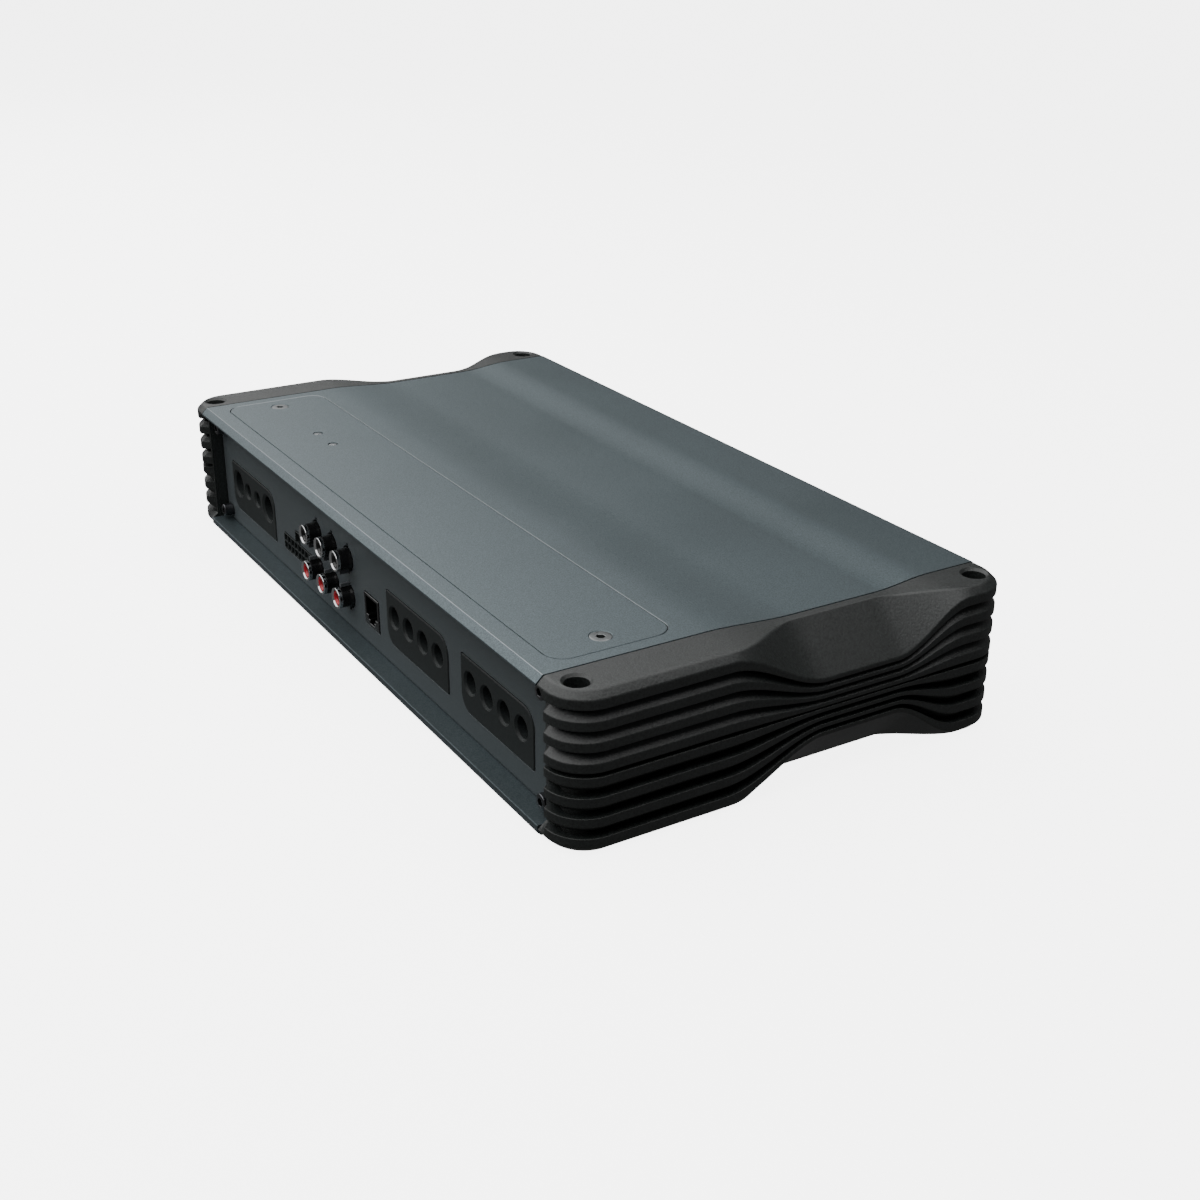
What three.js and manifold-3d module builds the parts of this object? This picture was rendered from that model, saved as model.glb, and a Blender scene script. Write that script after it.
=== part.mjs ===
// A class-D car amplifier in a wavy aluminium extrusion with two finned, cast end caps.
// Millimetres, +Z up. The origin is on the underside, at the middle of the footprint.
// +X runs along the extrusion, and the connection panel faces -Y.

import * as THREE from 'three';
import { mergeVertices } from 'three/addons/utils/BufferGeometryUtils.js';
import Module from 'manifold-3d';

const wasm = await Module();
wasm.setup();

// ---------------------------------------------------------------- driving sizes

const SHELL_LENGTH = 300; // extrusion, end cap to end cap
const DEPTH = 174.2; // front lip to rear wall
const HEIGHT = 55; // feet to flat top
const FIT = 0.3; // clearance between pieces that meet
const JOINT = 0.4; // shadow gap between extrusion and end cap

const HALF_LENGTH = SHELL_LENGTH / 2;
const FRONT = -DEPTH / 2;
const REAR = DEPTH / 2;
const MID_HEIGHT = HEIGHT / 2;

const CAP_LENGTH = 18.1;
const CAP_INNER = HALF_LENGTH + JOINT;
const CAP_OUTER = CAP_INNER + CAP_LENGTH;
const CAP_CORNER = 14;
const CAP_FLANGE = 2; // solid rim at the joint where the fins end
const FIN_PITCH = 7;
const FIN_GAP = 2;
const FIN_FACE = 3; // upright edge of a fin
const FIN_DEPTH = 6.6;
const FIN_BEVEL = 1.8;
const EDGE_BEVEL = 2.6; // bevel round the top and bottom plates, across
const EDGE_DROP = 2.5; // and down
const WAIST = 0.585; // share of the fin stack's height that the waist takes away
const APRON_REACH = 14; // how far the sloped apron runs in over the waist
const MOUNT_X = 158.2;
const MOUNT_Y = 77.9;
const MOUNT_RADIUS = 4;
const MOUNT_SINK_RADIUS = 4.9;
const MOUNT_BOSS_RADIUS = 5.1;
const CAP_POCKET = { depth: 6.6, y: 66, z0: 8, z1: 46 }; // hollow towards the extrusion

const SKIN = 4; // top skin of the extrusion
const REAR_WALL = 3.2;
const WAVE_DIP = 1.8;
const LIP_TOP = 3.9;
const PLATE = 2.5;
const EDGE_CHAMFER = 2; // chamfer along the extrusion's long edges
const RAIL_FRONT = -76.7; // rails that the connection panel screws to
const RAIL_REAR = -70.2;
const RAIL_DROP = 42; // underside of the upper rail
const WAVE_FALL = [-27, 7]; // where the top falls into its trough
const WAVE_CLIMB = [42, 64]; // and where it climbs back
const OVER = 1; // how far a cutting tool runs past the piece

const PANEL_FRONT = -79;
const PANEL_THICKNESS = 2;
const PANEL_BOTTOM = LIP_TOP + FIT;
const PANEL_TOP = 51.6;
const PANEL_SCREW_X = 145;
const PANEL_SCREW_Z = [8.4, 46.6];

const COVER = { x0: -145, x1: 145, y0: -78, y1: -34, corner: 7, floor: 52.3 };
const BAY = { x0: -127, x1: 127, y0: -69.9, y1: -38, corner: 4 };
const COVER_SCREW_X = 136;
const COVER_SCREW_Y = -56.2;
const COVER_SCREW_HOLE = 1.9;
const COVER_SCREW_HEAD = 3.7;
const INDICATORS_X = [-92.7, -76.6];
const INDICATOR_Y = -56;
const INDICATOR_RADIUS = 1.7;

const BOARD_BOTTOM = 10;
const BOARD_TOP = 11.5;
const POSTS = [[-138, -60], [138, -60], [-138, 72], [138, 72]];
const POST_RADIUS = 3;
const BLOCK_FACE = PANEL_FRONT - FIT;
const BLOCK_REAR = -58;
const BORE_Z = 24.3;
const BORE_END = -62;
const SET_SCREW_Y = -66;
const SET_SCREW_RADIUS = 2.3;
const SPEAKER_PITCH = 11.8;

const JACK_X = [-41.4, -26, -10.6];
const JACK_Z = [32.6, 17.3]; // upper row, lower row
const JACK_FACE = -85;

const CONTROL_TOP = 37.6; // upper face of the control board
const CONTROL_BOARD = { x0: -104, x1: 126, y0: -60, y1: -40, thickness: 1.6, legs: [-101, 10, 122] };
const CONTROL_Y = -50;
const KNOBS_X = [-55, -15, 25];
const SWITCHES_X = [60, 95];

// ---------------------------------------------------------------- finishes

const finish = (color, roughness, metalness) => ({ color, roughness, metalness });
const FINISH = {
  slatePaint: finish(0x5f6b72, 0.45, 0.6),
  blackCasting: finish(0x2b2b2b, 0.7, 0.3),
  panelPaint: finish(0x3a4142, 0.6, 0.3),
  blackPlastic: finish(0x2c2b29, 0.65, 0),
  redPlastic: finish(0xc4202e, 0.4, 0),
  chrome: finish(0xd8d8d6, 0.12, 1),
  zinc: finish(0xb6b4ae, 0.35, 1),
  blackScrew: finish(0x1b1b1c, 0.4, 0.8),
  greenBoard: finish(0x1d4a35, 0.5, 0),
  clearPlastic: finish(0xc9d2d6, 0.15, 0),
  greyPlastic: finish(0x8d9092, 0.5, 0),
  copperWinding: finish(0xa5582c, 0.4, 0.6),
  capacitorSleeve: finish(0x1f2430, 0.4, 0),
};

// ---------------------------------------------------------------- shape helpers

// Smooth 0 to 1 as value runs between two limits.
function rise(value, from, to) {
  const t = Math.min(1, Math.max(0, (value - from) / (to - from)));
  return t * t * (3 - 2 * t);
}

// Points spread evenly between two values, both included.
function steps(from, to, count) {
  return Array.from({ length: count + 1 }, (_, i) => from + ((to - from) * i) / count);
}

// Makes a geometry's triangles face outwards, whichever way they were wound.
function facingOut(geometry) {
  const p = geometry.attributes.position;
  const index = geometry.index.array;
  const [a, b, c] = [new THREE.Vector3(), new THREE.Vector3(), new THREE.Vector3()];
  let volume = 0;
  for (let i = 0; i < index.length; i += 3) {
    a.fromBufferAttribute(p, index[i]);
    b.fromBufferAttribute(p, index[i + 1]);
    c.fromBufferAttribute(p, index[i + 2]);
    volume += a.dot(b.cross(c));
  }
  if (volume < 0) {
    for (let i = 0; i < index.length; i += 3) {
      [index[i], index[i + 1]] = [index[i + 1], index[i]];
    }
  }
  return geometry;
}

// A watertight, outward-facing copy that holds only positions.
function closed(geometry) {
  const bare = geometry.clone();
  bare.deleteAttribute('normal');
  bare.deleteAttribute('uv');
  return facingOut(mergeVertices(bare, 1e-4));
}

function toSolid(geometry) {
  const mesh = closed(geometry);
  return new wasm.Manifold(new wasm.Mesh({
    numProp: 3,
    vertProperties: new Float32Array(mesh.attributes.position.array),
    triVerts: new Uint32Array(mesh.index.array),
  }));
}

function toGeometry(solid) {
  const mesh = solid.getMesh();
  const geometry = new THREE.BufferGeometry();
  geometry.setAttribute('position', new THREE.BufferAttribute(mesh.vertProperties, 3));
  geometry.setIndex(new THREE.BufferAttribute(mesh.triVerts, 1));
  geometry.computeVertexNormals();
  return geometry;
}

function cut(geometry, tools) {
  return toGeometry(tools.reduce((solid, tool) => solid.subtract(toSolid(tool)), toSolid(geometry)));
}

function join(geometry, additions) {
  return toGeometry(additions.reduce((solid, extra) => solid.add(toSolid(extra)), toSolid(geometry)));
}

// The same piece on the other side of the object's YZ plane.
function mirrored(geometry) {
  const copy = geometry.clone().scale(-1, 1, 1);
  return facingOut(copy);
}

function box(x0, x1, y0, y1, z0, z1) {
  const geometry = new THREE.BoxGeometry(x1 - x0, y1 - y0, z1 - z0);
  return geometry.translate((x0 + x1) / 2, (y0 + y1) / 2, (z0 + z1) / 2);
}

function polygon(points) {
  return new THREE.Shape(points.map(([u, v]) => new THREE.Vector2(u, v)));
}

// A rectangle with its own corner radius at lower left, lower right, upper right, upper left.
function roundedRectangle(u0, u1, v0, v1, [r0, r1, r2, r3]) {
  const shape = new THREE.Shape();
  shape.moveTo(u0 + r0, v0);
  shape.lineTo(u1 - r1, v0);
  shape.absarc(u1 - r1, v0 + r1, r1, -Math.PI / 2, 0);
  shape.lineTo(u1, v1 - r2);
  shape.absarc(u1 - r2, v1 - r2, r2, 0, Math.PI / 2);
  shape.lineTo(u0 + r3, v1);
  shape.absarc(u0 + r3, v1 - r3, r3, Math.PI / 2, Math.PI);
  shape.lineTo(u0, v0 + r0);
  shape.absarc(u0 + r0, v0 + r0, r0, Math.PI, Math.PI * 1.5);
  return shape;
}

// Points on an arc about (u, v), both ends included.
function arc(u, v, radius, from, to, count) {
  return steps(from, to, count).map((angle) => [u + radius * Math.cos(angle), v + radius * Math.sin(angle)]);
}

function circle(u, v, radius, sides = 12) {
  return polygon(arc(u, v, radius, 0, 2 * Math.PI * (1 - 1 / sides), sides - 1));
}

// Rounded corners get twice CORNER_STEPS sides.
const CORNER_STEPS = 2;

function extruded(shape, depth) {
  return new THREE.ExtrudeGeometry(shape, { depth, bevelEnabled: false, curveSegments: CORNER_STEPS });
}

// A (y, z) outline carried along X.
function alongX(shape, x0, x1) {
  const [x, y, z] = [new THREE.Vector3(1, 0, 0), new THREE.Vector3(0, 1, 0), new THREE.Vector3(0, 0, 1)];
  const turn = new THREE.Matrix4().makeBasis(y, z, x);
  return extruded(shape, x1 - x0).applyMatrix4(turn).translate(x0, 0, 0);
}

// An (x, z) outline carried along Y.
function alongY(shape, y0, y1) {
  return extruded(shape, y1 - y0).rotateX(Math.PI / 2).translate(0, y1, 0);
}

// An (x, y) outline carried along Z.
function alongZ(shape, z0, z1) {
  return extruded(shape, z1 - z0).translate(0, 0, z0);
}

function turned(profile, segments) {
  return new THREE.LatheGeometry(profile.map(([r, h]) => new THREE.Vector2(r, h)), segments);
}

// A turned piece on a vertical axis at (x, y). Profile heights are z.
function turnedUp(profile, x, y, segments = 12) {
  return turned(profile, segments).rotateX(Math.PI / 2).translate(x, y, 0);
}

// A turned piece on a front-to-back axis at (x, z). Profile heights are y.
function turnedAcross(profile, x, z, segments = 12) {
  return turned(profile, segments).translate(x, 0, z);
}

const pinProfile = (radius, from, to) => [[0, from], [radius, from], [radius, to], [0, to]];
const hole = (x, y, radius, z0, z1, segments) => turnedUp(pinProfile(radius, z0, z1), x, y, segments);
const bore = (x, z, radius, y0, y1, segments) => turnedAcross(pinProfile(radius, y0, y1), x, z, segments);

// ---------------------------------------------------------------- the object

const amplifier = new THREE.Group();

function add(name, geometry, material) {
  const mesh = new THREE.Mesh(closed(geometry), new THREE.MeshStandardMaterial(material));
  mesh.name = name;
  amplifier.add(mesh);
}

// ---------------------------------------------------------------- wavy top shell

// Height of the top above its flat level: a shallow trough runs along the extrusion.
const wave = (y) => -WAVE_DIP * (rise(y, ...WAVE_FALL) - rise(y, ...WAVE_CLIMB));
const WAVE_STATIONS = [...steps(...WAVE_FALL, 6), ...steps(...WAVE_CLIMB, 5)];

function panelScrewHoles(z) {
  const radius = 1.6;
  const [y0, y1] = [RAIL_FRONT - OVER, RAIL_REAR + OVER];
  return [-PANEL_SCREW_X, PANEL_SCREW_X].map((x) => bore(x, z, radius, y0, y1, 10));
}

function topShell() {
  const inner = HEIGHT - SKIN;
  const profile = polygon([
    [FRONT, PANEL_TOP + FIT],
    [FRONT, HEIGHT - EDGE_CHAMFER],
    [FRONT + EDGE_CHAMFER, HEIGHT],
    ...WAVE_STATIONS.map((y) => [y, HEIGHT + wave(y)]),
    [REAR - EDGE_CHAMFER, HEIGHT],
    [REAR, HEIGHT - EDGE_CHAMFER],
    [REAR, EDGE_CHAMFER],
    [REAR - EDGE_CHAMFER, 0],
    [REAR - REAR_WALL, 0],
    [REAR - REAR_WALL, inner],
    ...WAVE_STATIONS.toReversed().map((y) => [y, inner + wave(y)]),
    [RAIL_REAR, inner],
    [RAIL_REAR, RAIL_DROP],
    [RAIL_FRONT, RAIL_DROP],
    [RAIL_FRONT, PANEL_TOP + FIT],
  ]);
  const seat = roundedRectangle(COVER.x0, COVER.x1, COVER.y0, COVER.y1, Array(4).fill(COVER.corner));
  const bay = roundedRectangle(BAY.x0, BAY.x1, BAY.y0, BAY.y1, Array(4).fill(BAY.corner));
  return cut(alongX(profile, -HALF_LENGTH, HALF_LENGTH), [
    alongZ(seat, COVER.floor, HEIGHT + OVER),
    alongZ(bay, inner - OVER, COVER.floor + OVER),
    hole(-COVER_SCREW_X, COVER_SCREW_Y, COVER_SCREW_HOLE, inner - OVER, COVER.floor + OVER),
    hole(COVER_SCREW_X, COVER_SCREW_Y, COVER_SCREW_HOLE, inner - OVER, COVER.floor + OVER),
    ...panelScrewHoles(PANEL_SCREW_Z[1]),
  ]);
}

// ---------------------------------------------------------------- bottom plate with its front lip

function bottomPlate() {
  const rear = REAR - REAR_WALL - FIT;
  const profile = polygon([
    [FRONT + EDGE_CHAMFER, 0],
    [rear, 0],
    [rear, PLATE],
    [RAIL_REAR, PLATE],
    [RAIL_REAR, BOARD_TOP],
    [RAIL_FRONT, BOARD_TOP],
    [RAIL_FRONT, LIP_TOP],
    [FRONT, LIP_TOP],
    [FRONT, EDGE_CHAMFER],
  ]);
  const plate = join(
    alongX(profile, -HALF_LENGTH, HALF_LENGTH),
    POSTS.map(([x, y]) => hole(x, y, POST_RADIUS, PLATE - OVER, BOARD_BOTTOM - FIT, 8)),
  );
  return cut(plate, panelScrewHoles(PANEL_SCREW_Z[0]));
}

// ---------------------------------------------------------------- finned end caps

// Share of the fin stack's full height at a place along the end: 1, and less at the waist.
const squeeze = (y) => 1 - WAIST * (rise(y, -29, 9) - rise(y, 38, 67));
// Distance in from the outline to where the top plate is flat.
const apronReach = (y) => EDGE_BEVEL + APRON_REACH * (rise(y, -25, 6) - rise(y, 38, 70));
const squeezed = (z, y) => MID_HEIGHT + (z - MID_HEIGHT) * squeeze(y);

// Places round the cap's outline, each with the direction that points into the cap.
function outlineStations(start) {
  const arcX = CAP_OUTER - CAP_CORNER;
  const arcY = REAR - CAP_CORNER;
  const corner = (y, from) => steps(from, from + Math.PI / 2, 4).map((angle) => ({
    x: arcX + CAP_CORNER * Math.cos(angle),
    y: y + CAP_CORNER * Math.sin(angle),
    inX: -Math.cos(angle),
    inY: -Math.sin(angle),
  }));
  const side = [...steps(-29, 9, 6), ...steps(38, 70, 5)];
  return [
    { x: start, y: FRONT, inX: 0, inY: 1 },
    ...corner(-arcY, -Math.PI / 2),
    ...side.map((y) => ({ x: CAP_OUTER, y, inX: -1, inY: 0 })),
    ...corner(arcY, 0),
    { x: start, y: REAR, inX: 0, inY: -1 },
  ];
}

// A closed band that follows the outline. The profile gives points as depth inwards and height,
// and every point can be seen from the first one.
function band(stations, profileAt) {
  const rings = stations.map((s) => profileAt(s.y).map(([d, z]) => [s.x + s.inX * d, s.y + s.inY * d, z]));
  const count = rings[0].length;
  const index = [];
  for (let i = 0; i + 1 < rings.length; i += 1) {
    for (let j = 0; j < count; j += 1) {
      const [a, b] = [i * count + j, i * count + ((j + 1) % count)];
      index.push(a, b, b + count, a, b + count, a + count);
    }
  }
  const last = (rings.length - 1) * count;
  for (let j = 1; j + 1 < count; j += 1) {
    index.push(0, j + 1, j, last, last + j, last + j + 1);
  }
  const geometry = new THREE.BufferGeometry();
  geometry.setAttribute('position', new THREE.Float32BufferAttribute(rings.flat(2), 3));
  geometry.setIndex(index);
  return geometry;
}

// The gap under fin number k, counted down from the top plate. The fins of the upper half are
// bevelled on top, and those of the lower half are their mirror image.
function finGap(k) {
  const upper = k <= 3;
  const level = FIN_PITCH * Math.abs(4 - k) + FIN_GAP / 2;
  const side = upper ? 1 : -1;
  return (y) => {
    const at = (offset) => squeezed(MID_HEIGHT + side * offset, y);
    if (k === 4) {
      return [[-2, at(1)], [FIN_DEPTH, at(1)], [FIN_DEPTH, at(-1)], [-2, at(-1)]];
    }
    const far = at(level);
    const near = at(level - FIN_GAP);
    const foot = at(level - FIN_PITCH + FIN_FACE);
    const slope = (near - foot) / FIN_BEVEL;
    return [[-2, far], [FIN_DEPTH, far], [FIN_DEPTH, near], [FIN_BEVEL, near], [-2, foot - 2 * slope]];
  };
}

// What the bevel and the apron take off the top, or off the bottom where side is -1.
function apronCut(side) {
  return (y) => {
    const reach = apronReach(y);
    const edge = squeezed(HEIGHT - EDGE_DROP, y);
    const slope = (HEIGHT - edge) / reach;
    const at = (z) => (side > 0 ? z : HEIGHT - z);
    return [[-2, at(HEIGHT + 2)], [-2, at(edge - 2 * slope)], [reach + 2 / slope, at(HEIGHT + 2)]];
  };
}

function endCap() {
  const arcX = CAP_OUTER - CAP_CORNER;
  const arcY = REAR - CAP_CORNER;
  const plan = new THREE.Shape();
  plan.moveTo(CAP_INNER, FRONT);
  plan.lineTo(arcX, FRONT);
  plan.absarc(arcX, -arcY, CAP_CORNER, -Math.PI / 2, 0);
  plan.absarc(arcX, arcY, CAP_CORNER, 0, Math.PI / 2);
  plan.lineTo(CAP_INNER, REAR);
  const trough = polygon([
    ...WAVE_STATIONS.map((y) => [y, HEIGHT + wave(y)]),
    [WAVE_CLIMB[1], HEIGHT + OVER],
    [WAVE_FALL[0], HEIGHT + OVER],
  ]);
  const finStations = outlineStations(CAP_INNER + CAP_FLANGE);
  const plateStations = outlineStations(CAP_INNER - OVER);
  const mounts = [-MOUNT_Y, MOUNT_Y];
  const finned = cut(alongZ(plan, 0, HEIGHT), [1, 2, 3, 4, 5, 6, 7].map((k) => band(finStations, finGap(k))));
  const bossed = join(finned, mounts.map((y) => hole(MOUNT_X, y, MOUNT_BOSS_RADIUS, OVER, HEIGHT - OVER, 8)));
  const sinkDepth = 1;
  const sink = [
    [0, HEIGHT - sinkDepth],
    [MOUNT_RADIUS, HEIGHT - sinkDepth],
    [MOUNT_SINK_RADIUS, HEIGHT],
    [MOUNT_SINK_RADIUS, HEIGHT + OVER],
    [0, HEIGHT + OVER],
  ];
  const { depth, y, z0, z1 } = CAP_POCKET;
  return cut(bossed, [
    band(plateStations, apronCut(1)),
    band(plateStations, apronCut(-1)),
    alongX(trough, CAP_INNER - OVER, CAP_OUTER + OVER),
    box(CAP_INNER - OVER, CAP_INNER + depth, -y, y, z0, z1),
    ...mounts.map((at) => hole(MOUNT_X, at, MOUNT_RADIUS, -OVER, HEIGHT + OVER)),
    ...mounts.map((at) => turnedUp(sink, MOUNT_X, at)),
  ]);
}

// ---------------------------------------------------------------- connection panel

const POWER_BLOCK = { x0: -139, x1: -88.5, z0: 12, z1: 33.2 };
const SPEAKER_BLOCKS = [
  { x0: 24.5, x1: 74.4, z0: 12.6, z1: 33.3 },
  { x0: 84.4, x1: 134.3, z0: 12.6, z1: 33.3 },
];
const CONNECTOR = { x0: -78.6, x1: -48.5, z0: 13, z1: 20 };
const LATCH = { x0: -65.7, x1: -61.1, z1: 25 };
const NETWORK_JACK = { x0: 4, x1: 16.8, z0: 11.9, z1: 24.8 };

// Two opposite corners of a terminal block are large and two are small.
const BLOCK_CORNERS = [6.5, 1.2, 6.5, 1.2];

function blockOutline({ x0, x1, z0, z1 }, grow) {
  return roundedRectangle(x0 - grow, x1 + grow, z0 - grow, z1 + grow, BLOCK_CORNERS.map((r) => r + grow));
}

function connectorOutline(grow) {
  return polygon([
    [CONNECTOR.x0 - grow, CONNECTOR.z0 - grow],
    [CONNECTOR.x1 + grow, CONNECTOR.z0 - grow],
    [CONNECTOR.x1 + grow, CONNECTOR.z1 + grow],
    [LATCH.x1 + grow, CONNECTOR.z1 + grow],
    [LATCH.x1 + grow, LATCH.z1 + grow],
    [LATCH.x0 - grow, LATCH.z1 + grow],
    [LATCH.x0 - grow, CONNECTOR.z1 + grow],
    [CONNECTOR.x0 - grow, CONNECTOR.z1 + grow],
  ]);
}

// A round hole with a small key slot above and below.
function jackHole(x, z) {
  const [radius, key, halfKey] = [5, 6.1, 0.8];
  const lean = Math.acos(halfKey / radius);
  return polygon([
    ...arc(x, z, radius, -lean, lean, 7),
    [x + halfKey, z + key],
    [x - halfKey, z + key],
    ...arc(x, z, radius, Math.PI - lean, Math.PI + lean, 7),
    [x - halfKey, z - key],
    [x + halfKey, z - key],
  ]);
}

function connectionPanel() {
  const edge = HALF_LENGTH - FIT;
  const face = polygon([[-edge, PANEL_BOTTOM], [edge, PANEL_BOTTOM], [edge, PANEL_TOP], [-edge, PANEL_TOP]]);
  face.holes.push(...[POWER_BLOCK, ...SPEAKER_BLOCKS].map((block) => blockOutline(block, FIT)));
  face.holes.push(connectorOutline(FIT));
  face.holes.push(...JACK_X.flatMap((x) => JACK_Z.map((z) => jackHole(x, z))));
  face.holes.push(roundedRectangle(
    NETWORK_JACK.x0 - FIT,
    NETWORK_JACK.x1 + FIT,
    NETWORK_JACK.z0 - FIT,
    NETWORK_JACK.z1 + FIT,
    [0.4, 0.4, 0.4, 0.4],
  ));
  for (const x of [-PANEL_SCREW_X, PANEL_SCREW_X]) {
    face.holes.push(...PANEL_SCREW_Z.map((z) => circle(x, z, 1.8, 8)));
  }
  return alongY(face, PANEL_FRONT, PANEL_FRONT + PANEL_THICKNESS);
}

// ---------------------------------------------------------------- terminal blocks and set screws

// A block with a countersunk wire bore and a set-screw shaft for each terminal.
function terminalBlock(block, terminals) {
  const sinkDepth = 0.8;
  const body = alongY(blockOutline(block, 0), BLOCK_FACE, BLOCK_REAR);
  return cut(body, terminals.flatMap(({ x, radius, sink }) => [
    bore(x, BORE_Z, radius, BLOCK_FACE - OVER, BORE_END),
    turnedAcross([
      [0, BLOCK_FACE - OVER],
      [sink, BLOCK_FACE - OVER],
      [sink, BLOCK_FACE],
      [radius, BLOCK_FACE + sinkDepth],
      [0, BLOCK_FACE + sinkDepth],
    ], x, BORE_Z),
    hole(x, SET_SCREW_Y, SET_SCREW_RADIUS + 0.4, BORE_Z, block.z1 + OVER, 8),
  ]));
}

function setScrew(x, block, radius) {
  const top = block.z1 - 0.6;
  const tip = BORE_Z + radius + 0.5;
  const socket = 1.2;
  return turnedUp([
    [0, tip],
    [SET_SCREW_RADIUS, tip],
    [SET_SCREW_RADIUS, top],
    [socket, top],
    [socket, top - 1.6],
    [0, top - 1.6],
  ], x, SET_SCREW_Y, 8);
}

const speakerTerminals = (block) => [0, 1, 2, 3].map((i) => ({
  x: (block.x0 + block.x1) / 2 + (i - 1.7) * SPEAKER_PITCH + 1.5,
  radius: 3.8,
  sink: 4.5,
}));
const powerTerminals = [
  { x: -132, radius: 5.2, sink: 6.3 },
  { x: -120.3, radius: 3, sink: 3.8 },
  { x: -108.9, radius: 3, sink: 3.8 },
  { x: -96.6, radius: 5.2, sink: 6.3 },
];

// ---------------------------------------------------------------- phono jacks

// One black moulding with six barrels. Each barrel has a key rib towards the other row.
function jackHousing() {
  const body = box(JACK_X[0] - 6.1, JACK_X[2] + 6.1, RAIL_FRONT, -64, BOARD_TOP + FIT, JACK_Z[0] + 6.2);
  const root = RAIL_FRONT + OVER;
  const mouth = JACK_FACE + 1.7;
  const barrel = [[0, root], [4.7, root], [4.7, PANEL_FRONT], [4.05, mouth], [0, mouth]];
  const barrels = JACK_X.flatMap((x) => JACK_Z.map((z) => turnedAcross(barrel, x, z)));
  const [halfKey, keyReach, keyMouth] = [0.6, 5.7, mouth + 0.5];
  const keys = JACK_X.flatMap((x) => [
    box(x - halfKey, x + halfKey, keyMouth, root, JACK_Z[0] - keyReach, JACK_Z[0]),
    box(x - halfKey, x + halfKey, keyMouth, root, JACK_Z[1], JACK_Z[1] + keyReach),
  ]);
  const sockets = JACK_X.flatMap((x) => JACK_Z.map((z) => bore(x, z, 3.75, JACK_FACE, -71, 10)));
  return cut(join(body, [...barrels, ...keys]), sockets);
}

// A chromed sleeve with a flared mouth.
function jackShell(x, z) {
  return turnedAcross([
    [2.95, -72],
    [3.4, -72],
    [3.4, -83.6],
    [4.15, -83.6],
    [4.15, -84.6],
    [3.8, JACK_FACE],
    [2.95, -84],
    [2.95, -72],
  ], x, z);
}

// The plastic core, with the hole that takes the plug's pin.
function jackInsulator(x, z) {
  return turnedAcross([[0, -71.6], [2.6, -71.6], [2.6, -83], [1.6, -83.4], [1.6, -75], [0, -75]], x, z, 10);
}

// ---------------------------------------------------------------- multi-pin connector and network jack

function signalConnector() {
  const columns = 8;
  const pitch = (CONNECTOR.x1 - CONNECTOR.x0) / columns;
  const wall = 0.45;
  const rowHeight = 2.7;
  const depth = -71;
  const cavities = [];
  for (let i = 0; i < columns; i += 1) {
    const x = CONNECTOR.x0 + i * pitch;
    for (const z of [CONNECTOR.z0 + 0.5, CONNECTOR.z0 + 3.8]) {
      cavities.push(box(x + wall, x + pitch - wall, BLOCK_FACE - OVER, depth, z, z + rowHeight));
    }
  }
  const latch = box(
    LATCH.x0 + wall,
    LATCH.x1 - wall,
    BLOCK_FACE - OVER,
    depth,
    CONNECTOR.z1 + wall,
    LATCH.z1 - wall,
  );
  return cut(alongY(connectorOutline(0), BLOCK_FACE, -66), [...cavities, latch]);
}

function networkJack() {
  const mid = (NETWORK_JACK.x0 + NETWORK_JACK.x1) / 2;
  const socket = polygon([
    [mid - 1.9, NETWORK_JACK.z0 + 1.3],
    [mid + 1.9, NETWORK_JACK.z0 + 1.3],
    [mid + 1.9, NETWORK_JACK.z0 + 2.7],
    [mid + 3.1, NETWORK_JACK.z0 + 2.7],
    [mid + 3.1, NETWORK_JACK.z0 + 4.3],
    [mid + 5, NETWORK_JACK.z0 + 4.3],
    [mid + 5, NETWORK_JACK.z1 - 1.2],
    [mid - 5, NETWORK_JACK.z1 - 1.2],
    [mid - 5, NETWORK_JACK.z0 + 4.3],
    [mid - 3.1, NETWORK_JACK.z0 + 4.3],
    [mid - 3.1, NETWORK_JACK.z0 + 2.7],
    [mid - 1.9, NETWORK_JACK.z0 + 2.7],
  ]);
  const body = box(NETWORK_JACK.x0, NETWORK_JACK.x1, BLOCK_FACE, -64, NETWORK_JACK.z0, NETWORK_JACK.z1);
  return cut(body, [alongY(socket, BLOCK_FACE - OVER, -68)]);
}

// ---------------------------------------------------------------- access cover and its fittings

function accessCover() {
  const outline = roundedRectangle(
    COVER.x0 + FIT,
    COVER.x1 - FIT,
    COVER.y0 + FIT,
    COVER.y1 - FIT,
    Array(4).fill(COVER.corner - FIT),
  );
  outline.holes.push(...INDICATORS_X.map((x) => circle(x, INDICATOR_Y, INDICATOR_RADIUS + FIT)));
  const sinkRadius = COVER_SCREW_HEAD + 0.3;
  const sink = [
    [0, COVER.floor],
    [COVER_SCREW_HOLE, COVER.floor],
    [COVER_SCREW_HOLE, HEIGHT - sinkRadius + COVER_SCREW_HOLE],
    [sinkRadius, HEIGHT],
    [sinkRadius, HEIGHT + OVER],
    [0, HEIGHT + OVER],
  ];
  return cut(alongZ(outline, COVER.floor + FIT, HEIGHT), [-COVER_SCREW_X, COVER_SCREW_X].map(
    (x) => turnedUp(sink, x, COVER_SCREW_Y),
  ));
}

function coverScrew(x) {
  const top = HEIGHT - 0.1;
  const [shank, socket, tip] = [1.5, 1.3, 46.5];
  return turnedUp([
    [0, tip],
    [shank, tip],
    [shank, top - COVER_SCREW_HEAD + shank],
    [COVER_SCREW_HEAD, top],
    [socket, top],
    [socket, top - 1.3],
    [0, top - 1.3],
  ], x, COVER_SCREW_Y);
}

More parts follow.
